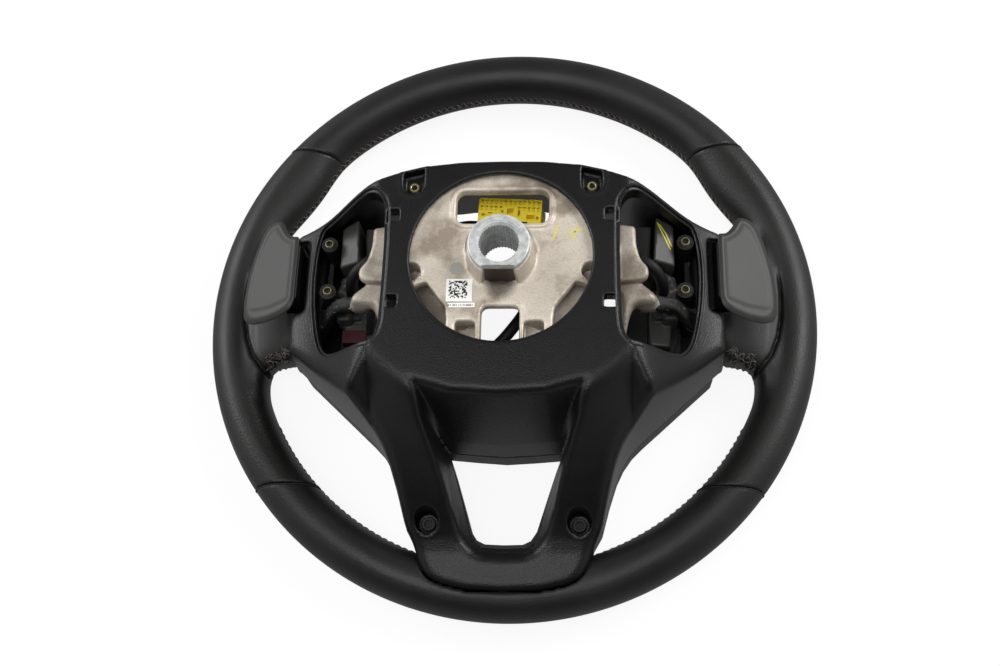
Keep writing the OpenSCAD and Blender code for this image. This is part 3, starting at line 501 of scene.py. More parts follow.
def veeDistance(x, y, z):
    # Distance to the hole between the legs, blended from level to level
    flat = [polygonDistance(bothSides(points), x, y) for _, points in veeLevels]
    out = flat[0] + 0 * z
    for (z0, _), (z1, _), a, b in zip(veeLevels, veeLevels[1:], flat, flat[1:]):
        t = np.clip((z - z0) / (z1 - z0), 0, 1)
        out = np.where(z >= z0, a + (b - a) * t, out)
    return out


def coverSides(x, y, z):
    # Distance to the outer side wall, and to the whole outer skin
    h = 0.6
    top = coverHeight(x, y)
    slopeX = (coverHeight(x + h, y) - top) / h
    slopeY = (coverHeight(x, y + h) - top) / h
    roof = (z - top) / np.sqrt(1 + slopeX ** 2 + slopeY ** 2)
    side = polygonDistance(footOutline, x, y) + cover["draft"] * (z - cover["parting"])
    vee = -veeDistance(x, y, z)
    soft = cover["edge"] + cover["lowerEdge"] * np.clip((-25 - y) / 25, 0, 1)
    return side, smoothMax(smoothMax(roof, side, soft), vee, cover["veeEdge"])


def skinHeight(points):
    # Height of the cover's outer face over each point
    heights = np.arange(116, 30, -0.5)
    value = coverSides(points[:, :1], points[:, 1:], heights[None, :])[1]
    row = np.arange(len(points))
    first = np.maximum(np.argmax(value < 0, axis=1), 1)
    before, after = value[row, first - 1], value[row, first]
    return heights[first - 1] - 0.5 * before / (before - after)


def softLoop(points, rounds):
    for _ in range(rounds):
        points = (np.roll(points, 1, axis=0) + 2 * points + np.roll(points, -1, axis=0)) / 4
    return points


def windowLoop():
    # The window's edge, kept clear of the cover's side wall
    corners = np.array(windowOutline)
    steps = np.linalg.norm(np.roll(corners, -1, axis=0) - corners, axis=1)
    run = np.concatenate([[0], np.cumsum(steps)])
    spots = np.arange(0, run[-1], run[-1] / int(run[-1] / windowFrame["spacing"]))
    closed = np.vstack([corners, corners[:1]])
    loop = np.stack([np.interp(spots, run, closed[:, k]) for k in (0, 1)], axis=1)
    for _ in range(3):
        height = skinHeight(loop)
        side = coverSides(loop[:, 0], loop[:, 1], height)[0]
        slope = np.stack([coverSides(loop[:, 0] + d, loop[:, 1] + e, height)[0] - side
                          for d, e in ((0.1, 0), (0, 0.1))], axis=1)
        slope /= np.linalg.norm(slope, axis=1, keepdims=True)
        loop = loop - slope * np.maximum(side + windowFrame["wall"], 0)[:, None]
    return softLoop(loop, 2)


windowFrame = {"spacing": 1.6, "wall": 4.9, "cut": 1.7,
               "profile": [(3.4, 0.0), (2.7, 0.3), (2.25, 0.12), (2.15, -1.5), (0.35, -1.6), (0.0, -1.95), (0.0, -11),
                           (1.3, -11), (1.3, -3.2), (3.3, -2.6)]}
windowEdge = windowLoop()
windowPoints = [tuple(p) for p in windowEdge]


def coverField(x, y, z):
    side, skin = coverSides(x, y, z)
    shell = smoothMax(skin, -(skin + cover["wall"]), 0.8)
    ax = np.abs(x)
    # Wells of the lower screws and seats of the upper ones
    fromLower = np.hypot(ax - lowerScrew[0], y - lowerScrew[1])
    fromUpper = np.hypot(ax - upperScrew[0], y - upperScrew[1])
    well = np.maximum(np.maximum(fromLower - wells["outer"], wells["floor"] - z), skin)
    shell = smoothMin(shell, well, 1.0)
    notch = boxDistance(ax - upperScrew[0], y - upperScrew[1] - notches["up"], *notches["half"], notches["corner"])
    notch = np.maximum(notch, side + notches["clear"])
    seat = np.maximum(np.maximum(notch - notches["wall"], notches["floor"] - z), skin)
    shell = smoothMin(shell, seat, 0.8)
    shell = smoothMax(shell, -np.maximum(fromLower - wells["inner"], wells["seat"] - z), 1.2)
    shell = smoothMax(shell, wells["hole"] - fromLower, 0.3)
    shell = smoothMax(shell, -np.maximum(notch, notches["seat"] - z), 0.9)
    shell = smoothMax(shell, wells["hole"] - fromUpper, 0.3)
    # Foot, and the open edge at the top
    shell = smoothMax(shell, cover["parting"] - z, 0.8)
    topOpening = (ax < cover["openHalf"]) & (y > cover["openFrom"])
    shell = smoothMax(shell, np.where(topOpening, cover["topEdge"] - z, -1e3), 0.6)
    # Ends round the leather and the paddles' stems
    shell = smoothMax(shell, -np.maximum(boxHole(ax, y, *cover["leatherEnd"]), z - cover["leatherTop"]), 0.6)
    shell = smoothMax(shell, -np.maximum(boxHole(ax, y, *cover["stemSlot"]), cover["stemLow"] - z), 0.8)
    window = polygonDistance(windowPoints, ax, y) - windowFrame["cut"]
    shell = smoothMax(shell, -np.maximum(window, 30 - z), 0.5)
    # Square holes with collars beside the windows
    halfX, halfY = squares["half"]
    for cx, cy in squares["places"]:
        wide, tall = halfX + squares["wall"], halfY + squares["wall"]
        collar = np.maximum(boxDistance(ax - cx, y - cy, wide, tall, 0.5), skin + squares["sink"])
        shell = smoothMin(shell, np.maximum(collar, squares["floor"] - z), 0.5)
        hole = boxDistance(ax - cx, y - cy, halfX, halfY, 0.5)
        shell = smoothMax(shell, -np.maximum(hole, squares["floor"] - z), 0.5)
    shell = smoothMax(shell, -np.maximum(np.hypot(x, y) - cover["hub"], 90 - z), 1.6)
    # Room for the leather of the ring
    a, b = np.hypot(x, y) - rim["ring"], z - rim["mid"]
    rimClear = (np.sqrt((a / rim["inner"]) ** 2 + (b / rim["deep"]) ** 2) - 1) * rim["inner"] - 0.4
    return smoothMax(shell, -np.maximum(rimClear, z - 29.9), 0.5)


coverSkin = finish(isoMesh("rearCover", coverField, (-130, -176, 26), (130, 65, 113), 1.35, 2), "cover",
                   stands=("rear_cover",))
print("cover", len(coverSkin.data.polygons))


def sweepLoop(name, loop, profile, mirror):
    # Closed strip round a window with a fixed section
    tangent = np.roll(loop, -1, axis=0) - np.roll(loop, 1, axis=0)
    outward = np.stack([tangent[:, 1], -tangent[:, 0]], axis=1) / np.linalg.norm(tangent, axis=1, keepdims=True)
    middle = loop.mean(axis=0)
    outward *= np.sign(((loop - middle) * outward).sum())
    rings = []
    for out, drop in profile:
        place = loop + outward * out
        rings.append(np.column_stack([place[:, 0] * mirror, place[:, 1], skinHeight(place) + drop]))
    n, m = len(loop), len(profile)
    faces = [(j * n + i, j * n + (i + 1) % n, (j + 1) % m * n + (i + 1) % n, (j + 1) % m * n + i)
             for j in range(m) for i in range(n)]
    thing = meshObject(name, np.concatenate(rings) * mm, faces)
    fresh = bmesh.new()
    fresh.from_mesh(thing.data)
    bmesh.ops.recalc_face_normals(fresh, faces=fresh.faces)
    fresh.to_mesh(thing.data)
    fresh.free()
    thing.data.set_sharp_from_angle(angle=math.radians(35))
    return thing


for side, sign in hands:
    finish(sweepLoop(side + "WindowFrame", windowEdge, windowFrame["profile"], sign), "cover")
for part, node, low, high, finishName in (
        ("top", "leather_top", (-190, 100, -2), (190, 190, 35), "leatherSmooth"),
        ("bottom", "leather_bottom", (-190, -190, -2), (190, -104, 35), "leatherSmooth"),
        ("left", "leather_left", (-190, -118, -2), (-100, 124, 62), "leatherSide"),
        ("right", "leather_right", (100, -118, -2), (190, 124, 62), "leatherSide")):
    smoothHide = finishName == "leatherSmooth"
    panel = isoMesh(part + "Leather", panelField(part), low, high, 1.5 if smoothHide else 1.2, 2)
    finish(panel, finishName, stands=(node,))
print("leather done")

# Paddles

bladeOutline = roundCorners([
    (123.2, -12), (125, -16.4), (130.5, -19.6), (139.5, -22.2), (148.8, -22.6), (154.6, -20.6), (157.4, -16),
    (158, -6), (157, 8), (154, 22), (150, 35), (147, 40.2), (142.5, 43.2), (137, 43.4), (134.4, 40.6),
    (132.2, 35.4), (128.4, 31), (124.4, 30.2), (123.2, 28.6)], 3)
bladeField = roundCorners([(125.2, -10.5), (128.5, -12.3), (139, -15), (151, -15), (155.3, -12.6), (156, -1.3),
                           (154.3, 14.1), (150, 27.5), (145.1, 37.6), (139, 40.9), (133.7, 32.5), (128, 27.8),
                           (125.2, 27)], 2.5)
blade = {"z": 73.0, "inside": 124, "fall": 0.45, "thick": 4.0, "cap": 2.6, "bevel": 0.55, "bevelWide": 3.2,
         "dish": 0.8, "dishEdge": 5}
hinge = {"x": 113, "z": 48, "middle": 7.5, "half": 17.5, "radius": 3.5, "bore": 1.55}


def bladeTop(x, y, z):
    # Distance above the blade's sloping top, and outside its outline
    top = z - blade["z"] + blade["fall"] * (np.abs(x) - blade["inside"])
    return top / math.hypot(1, blade["fall"]), polygonDistance(bladeOutline, np.abs(x), y)


def paddleCap(x, y, z):
    top, edge = bladeTop(x, y, z)
    bevel = (top + blade["bevel"] * (edge + blade["bevelWide"])) / math.hypot(1, blade["bevel"])
    t = np.clip((1 - polygonDistance(bladeField, np.abs(x), y)) / blade["dishEdge"], 0, 1)
    dish = top + blade["dish"] * t * t * (3 - 2 * t)
    body = smoothMax(smoothMax(dish, -top - blade["cap"], 0.8), edge, 1.0)
    return smoothMax(body, bevel, 0.8)


def paddleStem(x, y, z):
    top, edge = bladeTop(x, y, z)
    out, along, up = np.abs(x) - hinge["x"], y - hinge["middle"], z - hinge["z"]
    body = smoothMax(smoothMax(top + 2.5, -top - blade["thick"], 0.8), edge + 1.4, 1.5)
    stem = roundBox(out - 11.8, along, up - 9.5, (2.2, hinge["half"], 12.6), 0.6)
    link = roundBox(out - 6.5, along, up, (7.4, hinge["half"], 3), 0.8)
    knuckle = np.maximum(np.hypot(out, up) - hinge["radius"], np.abs(along) - hinge["half"])
    body = smoothMin(smoothMin(body, stem, 1.2), smoothMin(link, knuckle, 1), 1)
    return smoothMax(body, hinge["bore"] - np.hypot(out, up), 0.2)


for side, sign in hands:
    xs = sorted((sign * 106, sign * 161))
    cap = isoMesh(side + "PaddleCap", paddleCap, (xs[0], -26, 50), (xs[1], 47, 76), 0.6, 2)
    finish(cap, "paddle", "paddle_" + side, ("paddle_" + side,))
    stem = isoMesh(side + "PaddleStem", paddleStem, (xs[0], -26, 42), (xs[1], 47, 74), 0.8, 2)
    finish(stem, "black", "paddle_" + side)
print("paddles done")

# Hub casting

plate = {"z": 104.5, "thick": 5.0, "radius": 55.5, "bore": 15.3, "screwRoom": 9.4,
         "ribTurns": (-12, 22, 158, 192, 238, 302), "ribStart": 3, "ribEnd": 14, "ringRib": 54}
boss = {"radius": 17.9, "mid": 105.2, "half": 14.8, "sleeve": 19.6, "sleeveMid": 106, "sleeveHalf": 9.6}
ear = {"radius": 7, "low": 90.5, "high": 99}
lobe = roundCorners([(65.2, 26.3), (75, 25), (75.4, 13.4), (77.5, 4.9), (82, -1), (82, -5.7), (79, -8.5), (60, -10),
                     (40, -8), (40, 12), (64.5, 13)], 2)
shoulder = roundCorners([(50, -6), (67, -3.4), (77.5, -7), (82, -11), (86.5, -15.4), (86.5, -20.3), (76, -21.6),
                         (73, -23), (70.7, -29), (69, -38), (67, -38), (66.8, -15), (50, -12)], 3)
# Arms: distance along, middle across, middle height, half width, half depth
rodRows = [(80, -17.5, 79, 4.5, 4.5), (98, -15.5, 71.5, 3.6, 3.6), (106, -20, 58, 5, 6), (121, -21, 40, 6.5, 7),
           (138.9, -17, 27, 8, 6), (157.9, -12, 18.6, 10, 5), (171, -11, 16.5, 11, 3.8)]
lowerArmRows = [(38, 25, 99.5, 9, 4.5), (57.8, 48, 96.5, 7.5, 5), (71.7, 58, 89, 6.8, 5.8), (91.9, 56.5, 68, 7, 6.5),
                (105.4, 51.5, 50, 7.5, 6.5), (117.1, 47.5, 32, 8, 6), (126.1, 44.5, 22, 8.5, 5),
                (142, 40.6, 20.6, 7.2, 4.6), (156, 39.6, 19, 7.2, 3.8), (168, 39, 17.5, 8, 3.5)]
rod = [softTable([(r[0], r[i]) for r in rodRows], 2) for i in (1, 2, 3, 4)]
lowerArm = [softTable([(r[0], r[i]) for r in lowerArmRows], 3) for i in (1, 2, 3, 4)]


def barField(along, across, z, table, start, end):
    c, h, wide, deep = (t(along) for t in table)
    bar = boxDistance(across - c, z - h, wide, deep, 2.5)
    return np.maximum(bar * 0.8, np.maximum(start - along, along - end))


# Openings of the plate: middle, half sizes, corner radius
openings = {"window": (0.3, 30.7, 26, 9.9, 5), "slot": (0.4, -49.3, 10.4, 20, 4),
            "corner": (18.8, -46, 5.4, 7.5, 1.6), "pin": (50, -8.5), "pinRadius": 5.4}
pocketOutline = roundCorners([(41.2, -14.6), (30, -29.5), (29, -37.6), (29.6, -44), (36, -46), (46, -36),
                              (52, -22), (47, -17)], 1.5)


def plateHoles(x, y):
    ax = np.abs(x)
    pin = np.hypot(ax - openings["pin"][0], y - openings["pin"][1]) - openings["pinRadius"]
    small = np.minimum(np.minimum(pin, polygonDistance(pocketOutline, ax, y)), boxHole(ax, y, *openings["corner"]))
    return boxHole(x, y, *openings["window"]), boxHole(x, y, *openings["slot"]), small


def castField(x, y, z):
    ax, r = np.abs(x), np.hypot(x, y)
    fromScrew = np.hypot(ax - upperScrew[0], y - upperScrew[1])
    flat = smoothMax(r - plate["radius"], plate["screwRoom"] - fromScrew, 2)
    window, slot, others = plateHoles(x, y)
    high = z - plate["z"]
    slab = smoothMax(smoothMax(high, -high - plate["thick"], 1.2), flat, 1.5)
    # Raised beads round the openings and the edge
    bead = smoothMin(np.hypot(window - 1.6, high) - 1.5, np.hypot(slot - 1.5, high) - 1.2, 1)
    bead = smoothMin(bead, np.hypot(others - 0.8, high) - 0.8, 1)
    bead = np.maximum(bead, flat + 0.5)
    slab = smoothMin(slab, bead, 1.0)
    # Stiffening ribs on the front
    ribs = np.full(np.broadcast(x, y).shape, 1e3)
    for degrees in plate["ribTurns"]:
        c, s = math.cos(math.radians(degrees)), math.sin(math.radians(degrees))
        along, off = x * c + y * s, -x * s + y * c
        ribs = np.minimum(ribs, boxDistance(along - 36, off, 19, 1.3))
    ribs = smoothMin(ribs, np.abs(r - plate["ringRib"]) - 1.4, 1)
    rib = np.maximum(np.maximum(ribs, high + plate["ribStart"]), -high - plate["ribEnd"])
    body = smoothMin(slab, rib, 2)
    # Boss round the bush, with a wider sleeve on its upper side
    tower = r - boss["radius"] - np.clip((119 - z) * 0.09, 0, 1.3)
    tower = np.maximum(tower, np.abs(z - boss["mid"]) - boss["half"])
    sleeve = r - boss["sleeve"] - np.clip((114 - z) * 0.1, 0, 1.2)
    sleeve = np.maximum(np.maximum(sleeve, np.abs(z - boss["sleeveMid"]) - boss["sleeveHalf"]), 3 - y)
    body = smoothMin(body, smoothMin(tower, sleeve, 0.5), 1.6)
    # Side lobes and shoulders, then the rods and arms into the rim
    lobeTop = 92 + np.clip((66 - ax) / 16, 0, 1) * 8
    side = smoothMax(polygonDistance(lobe, ax, y), np.abs(z - lobeTop + 3) - 3, 2.2)
    bulge = 88.5 + np.clip((66 - ax) / 16, 0, 1) * 8 - 0.012 * (y + 17) ** 2
    side = smoothMin(side, smoothMax(polygonDistance(shoulder, ax, y), np.abs(z - bulge + 5) - 5, 5), 1.2)
    ramp = smoothMax(boxDistance(ax - 56, y - 1, 10, 11), np.abs(z - lobeTop + 3.5) - 3, 2)
    side = smoothMin(side, ramp, 1.5)
    body = smoothMin(body, side, 1.5)
    body = smoothMin(body, barField(ax, y, z, rod, 78, 172), 3)
    body = smoothMin(body, barField(-y, ax, z, lowerArm, 36, 170), 6)
    # Ears under the upper screws, and posts under the lower ones
    lug = np.maximum(np.maximum(fromScrew - ear["radius"], ear["low"] - z), z - ear["high"])
    lugArm = np.abs((ax - upperScrew[0]) * 0.66 - (y - upperScrew[1]) * 0.75) - 5
    lugArm = np.maximum(np.maximum(lugArm, np.abs(z - 94.7) - 4.2), np.abs(r - 57) - 7)
    body = smoothMin(body, smoothMin(lug, lugArm, 2), 2)
    post = np.maximum(np.hypot(ax - lowerScrew[0], y - lowerScrew[1]) - 7, np.abs(z - 22) - 5.2)
    body = smoothMin(body, post, 1.5)
    ring = np.hypot(r - rim["ring"], z - rim["mid"]) - 5.5
    body = smoothMin(body, ring, 1)
    for opening, deep, soft in ((window, 30, 1.2), (slot, 30, 1.2), (others, 12, 1)):
        body = smoothMax(body, -np.maximum(opening, -high - deep), soft)
    # Rough floor below the small openings, made dark by the cast material's painted shade for low parts
    dimples = 0.7 * np.sin(x * 1.6 + y * 0.9) * np.sin(y * 1.5 - x * 0.8)
    pad = np.maximum(np.maximum(r - 56, 12.2 - ax), np.maximum(y + 1, np.abs(z - 90 + dimples * 0.5) - 2.2))
    body = smoothMin(body, pad, 2.0)
    # Keyed recess below the bush, and the bush's own seat
    key = np.maximum(boxDistance(x, y + 22.4, 8.3 + (120 - z) * 0.08, 8.2), plate["z"] + 0.2 - z)
    body = smoothMax(body, -key, 0.3)
    return smoothMax(body, plate["bore"] - r, 0.6)


casting = isoMesh("hubCasting", castField, (-180, -180, 9), (180, 54, 121), 1.5, 2)
finish(casting, "cast", stands=("armature",))
print("casting", len(casting.data.polygons))


def sleeveField(x, y, z):
    # Foam moulded over the arm from the window to the rim
    ax = np.abs(x)
    lumps = 0.35 * np.sin(y * 0.9 + x * 0.31) * np.sin(z * 0.7 + x * 0.5)
    return np.maximum(barField(ax, y, z, rod, 0, 200) - 0.3 + lumps, np.maximum(85.5 - ax, ax - 158))


for side, sign in hands:
    xs = sorted((sign * 83, sign * 160))
    sleeve = isoMesh(side + "ArmFoam", sleeveField, (xs[0], -36, 10), (xs[1], 2, 90), 1.2, 1)
    finish(sleeve, "foam")


# Repeats made with Geometry Nodes

def newTree(name, **inputs):
    tree = bpy.data.node_groups.new(name, "GeometryNodeTree")
    for title, kind in inputs.items():
        tree.interface.new_socket(title, in_out="INPUT", socket_type="NodeSocket" + kind)
    tree.interface.new_socket("Geometry", in_out="OUTPUT", socket_type="NodeSocketGeometry")
    return tree, tree.nodes.new("NodeGroupInput").outputs, tree.nodes.new("NodeGroupOutput")


def shapeOf(tree, thing):
    return addNode(tree, "GeometryNodeObjectInfo", {"Object": thing}).outputs["Geometry"]


def pointsOf(tree, thing):
    return addNode(tree, "GeometryNodeMeshToPoints", {"Mesh": shapeOf(tree, thing)}).outputs[0]


def setOn(tree, points, piece, **inputs):
    return addNode(tree, "GeometryNodeInstanceOnPoints", {"Points": points, "Instance": piece, **inputs}).outputs[0]


def closeTree(tree, instances, values, end):
    real = addNode(tree, "GeometryNodeRealizeInstances", {"Geometry": instances})
    painted = addNode(tree, "GeometryNodeSetMaterial", {"Geometry": real.outputs[0], "Material": values["Material"]})
    tree.links.new(painted.outputs[0], end.inputs[0])


def treeMesh(name, tree, values):
    # Evaluates the tree once and keeps its result as a plain mesh
    host = bpy.data.objects.new(name + "Host", bpy.data.meshes.new(name + "Host"))
    bpy.context.scene.collection.objects.link(host)
    modifier = host.modifiers.new(name, "NODES")
    modifier.node_group = tree
    for item in tree.interface.items_tree:
        if item.in_out == "INPUT" and item.name in values:
            modifier[item.identifier] = values[item.name]
    bpy.context.view_layer.update()
    graph = bpy.context.evaluated_depsgraph_get()
    mesh = bpy.data.meshes.new_from_object(host.evaluated_get(graph), depsgraph=graph)
    host.modifiers.clear()
    bpy.data.objects.remove(host)
    thing = bpy.data.objects.new(name, mesh)
    mesh.name = name
    bpy.context.scene.collection.objects.link(thing)
    return thing


def clear(*things):
    for thing in things:
        bpy.data.objects.remove(thing)


def curvePath(name, points):
    data = bpy.data.curves.new(name, "CURVE")
    data.dimensions = "3D"
    spline = data.splines.new("POLY")
    spline.points.add(len(points) - 1)
    for point, place in zip(spline.points, points):
        point.co = (place[0] * mm, place[1] * mm, place[2] * mm, 1)
    thing = bpy.data.objects.new(name, data)
    bpy.context.scene.collection.objects.link(thing)
    return thing


def lathe(name, profile, segments=64, at=(0, 0, 0)):
    # Closed profile of (radius, height) turned about the upright axis
    turns = np.arange(segments) * 2 * math.pi / segments
    rows = [[(r * math.cos(t) + at[0], r * math.sin(t) + at[1], z + at[2]) for t in turns] for r, z in profile]
    points = np.array(rows).reshape(-1, 3) * mm
    faces = []
    for i in range(len(profile)):
        j = (i + 1) % len(profile)
        for k in range(segments):
            m = (k + 1) % segments
            faces.append((i * segments + k, i * segments + m, j * segments + m, j * segments + k))
    thing = meshObject(name, points, faces)
    thing.data.set_sharp_from_angle(angle=math.radians(14))
    return thing


def pointsTree():
    tree, values, end = newTree("Pieces on points", Piece="Object", Places="Object", Material="Material")
    placed = setOn(tree, pointsOf(tree, values["Places"]), shapeOf(tree, values["Piece"]))
    closeTree(tree, placed, values, end)
    return tree


def sweepTree():
    tree, values, end = newTree("Tape round a lead", Path="Object", Radius="Float", Sides="Int", Material="Material")
    spline = addNode(tree, "GeometryNodeCurveSplineType", {"Curve": shapeOf(tree, values["Path"])},
                     spline_type="CATMULL_ROM")
    fine = addNode(tree, "GeometryNodeSetSplineResolution", {"Geometry": spline.outputs[0], "Resolution": 8})
    ring = addNode(tree, "GeometryNodeCurvePrimitiveCircle", {"Resolution": values["Sides"],
                                                              "Radius": values["Radius"]})
    tube = addNode(tree, "GeometryNodeCurveToMesh", {"Curve": fine.outputs[0], "Profile Curve": ring.outputs[0],
                                                     "Fill Caps": True})
    smooth = addNode(tree, "GeometryNodeSetShadeSmooth", {"Geometry": tube.outputs[0]})
    closeTree(tree, smooth.outputs[0], values, end)
    return tree


def stitchTree():
    tree, values, end = newTree("Stitches along a seam", Path="Object", Stitch="Object", Pitch="Float",
                                Material="Material")
    spots = addNode(tree, "GeometryNodeResampleCurve", {"Curve": shapeOf(tree, values["Path"]),
                                                        "Length": values["Pitch"]}, mode="LENGTH")
    along = addNode(tree, "FunctionNodeAlignRotationToVector", {
        "Vector": addNode(tree, "GeometryNodeInputTangent").outputs[0]}, axis="X")
    place = addNode(tree, "GeometryNodeInputPosition").outputs[0]
    inward = addNode(tree, "ShaderNodeVectorMath", {0: place, 1: (-1, -1, 0)}, operation="MULTIPLY")
    upright = addNode(tree, "FunctionNodeAlignRotationToVector", {
        "Rotation": along.outputs[0], "Vector": inward.outputs[0]}, axis="Z", pivot_axis="X")
    placed = setOn(tree, spots.outputs[0], shapeOf(tree, values["Stitch"]), Rotation=upright.outputs[0])
    closeTree(tree, placed, values, end)
    return tree


def ringTree():
    tree, values, end = newTree("Teeth round a bore", Tooth="Object", Teeth="Int", Radius="Float", Body="Object",
                                Material="Material")
    circle = addNode(tree, "GeometryNodeMeshCircle", {"Vertices": values["Teeth"], "Radius": values["Radius"]})
    points = addNode(tree, "GeometryNodeMeshToPoints", {"Mesh": circle.outputs[0]})
    place = addNode(tree, "GeometryNodeInputPosition").outputs[0]
    turn = addNode(tree, "FunctionNodeAlignRotationToVector", {"Vector": place}, axis="X")
    placed = setOn(tree, points.outputs[0], shapeOf(tree, values["Tooth"]), Rotation=turn.outputs[0])
    joined = addNode(tree, "GeometryNodeJoinGeometry")
    tree.links.new(placed, joined.inputs[0])
    tree.links.new(shapeOf(tree, values["Body"]), joined.inputs[0])
    closeTree(tree, joined.outputs[0], values, end)
    return tree


pointTree, tubeTree, seamTree, teethTree = pointsTree(), sweepTree(), stitchTree(), ringTree()

# Splined bush

bush = {"face": 124.0, "length": 31.0, "radius": 17.1, "collar": 5.0, "bore": 10.6, "toothDeep": 0.45, "teeth": 40,
        "flat": -13.7, "flatHalf": 8.5}
top, low = bush["face"], bush["face"] - bush["length"]
wide, hole = bush["radius"], bush["bore"] + bush["toothDeep"]
bushBody = lathe("bushBody", [
    (hole + 1.1, top - 0.3), (hole + 1.9, top - 0.25), (hole + 2.1, top), (14.6, top), (14.8, top - 0.2), (15, top),
    (wide - 0.9, top), (wide - 0.25, top - 0.25), (wide, top - 0.9), (wide, top - bush["collar"]),
    (wide - 2, top - bush["collar"] - 0.3), (wide - 2, low), (hole + 1.4, low), (hole, low + 1.4),
    (hole, top - 1.3)], 120)
deep, base, reach = bush["toothDeep"] * mm, (low + 1.5) * mm, (bush["length"] - 3) * mm
section = [(0.0001, -0.0006), (-deep, -0.0002), (-deep, 0.0002), (0.0001, 0.0006)]
tooth = meshObject("tooth", [(x, y, z) for z in (base, base + reach) for x, y in section],
                   [(1, 0, 4, 5), (2, 1, 5, 6), (3, 2, 6, 7), (0, 3, 7, 4), (0, 1, 2, 3), (7, 6, 5, 4)],
                   smooth=False)
# Keyed flat on the bush's lower side
for vertex in bushBody.data.vertices:
    if vertex.co.y < bush["flat"] * mm and abs(vertex.co.x) < bush["flatHalf"] * mm:
        vertex.co.y = bush["flat"] * mm
hubBush = treeMesh("hubBush", teethTree, {"Tooth": tooth, "Body": bushBody, "Teeth": bush["teeth"],
                                          "Radius": hole * mm, "Material": materials["bush"]})
clear(tooth, bushBody)
finish(hubBush, "bush", stands=("hub_bush",))

# Connector of the airbag and switch wiring

connector = {"mid": (2.8, 36.2), "top": 84.0, "tall": 20.0, "long": 37.0, "wide": 22.0, "turn": -3.2,
             "deep": 6, "columns": 13,
             # Rows of contacts: place, half width, half height, columns left out at the middle
             "rows": [(1.7, 0.85, 0.6, 0), (3.5, 0.42, 0.35, 0), (5.6, 0.85, 0.6, 2), (7.4, 0.42, 0.35, 2)],
             "slots": [(0.2, -8.2, 1.7, 1.8), (5.4, -9.0, 0.7, 2.1), (12.2, -11.6, 2.3, 1.6), (-15.4, -11.0, 1.0, 0.7),
                       (-4.4, -8.4, 0.5, 0.8), (16.2, -11.8, 0.8, 0.8), (-11.5, -9.6, 1.2, 0.35)]}


def connectorField(x, y, z):
    c, s = math.cos(math.radians(connector["turn"])), math.sin(math.radians(connector["turn"]))
    u = (x - connector["mid"][0]) * c + (y - connector["mid"][1]) * s
    v = -(x - connector["mid"][0]) * s + (y - connector["mid"][1]) * c
    halfLong, halfWide, halfTall = connector["long"] / 2, connector["wide"] / 2, connector["tall"] / 2
    high = z - connector["top"]
    body = roundBox(u, v, high + halfTall, (halfLong, halfWide, halfTall), 0.5)
    flange = roundBox(u, v, high + connector["tall"] - 2, (halfLong + 1.2, halfWide, 2), 0.4)
    body = np.minimum(body, flange)
    pitch = (connector["long"] - 4) / (connector["columns"] - 1)
    column = np.round(u / pitch)
    inRow = np.abs(column) <= (connector["columns"] - 1) / 2
    offU = u - column * pitch
    cuts = np.full(body.shape, 50.0)
    for row, wide, tall, gap in connector["rows"]:
        pocket = boxDistance(offU, v - halfWide + row, wide, tall, 0.2)
        cuts = np.minimum(cuts, np.where(inRow & (np.abs(column) > gap - 0.5 + 0.1 * gap), pocket, 50.0))
    for cu, cv, wu, wv in connector["slots"]:
        cuts = np.minimum(cuts, boxDistance(u - cu, v - halfWide - cv, wu, wv, 0.2))
    return smoothMax(body, -np.maximum(cuts, -high - connector["deep"]), 0.2)


plugBlock = isoMesh("wiringConnector", connectorField, (-19, 22, 62), (25, 50, 86), 0.42, 1)
finish(plugBlock, "yellow", stands=("wiring_connector",))
print("connector", len(plugBlock.data.polygons))

# Switch housings seen through the windows

upperBox = roundCorners([(86.2, 12), (88, 40.5), (97, 37.6), (98.5, 36), (98.5, 11)], 1)
sideBox = roundCorners([(69.4, 32), (69.4, 42.5), (83, 42), (86, 41), (84.6, 20), (76, 21)], 1.5)
basePlate = roundCorners([(69, -40), (92, -44), (98, -34), (104, -16), (104, 20), (98, 34), (72, 38), (69, 30)], 3)
lowerBox = roundCorners([(84, -32), (96, -33), (97, -20), (97, 3), (84, 3)], 1.5)
flapOutline = [(88, -9), (94, -13), (101, -10), (102, 0), (99, 9), (92, 11), (88.5, 4)]


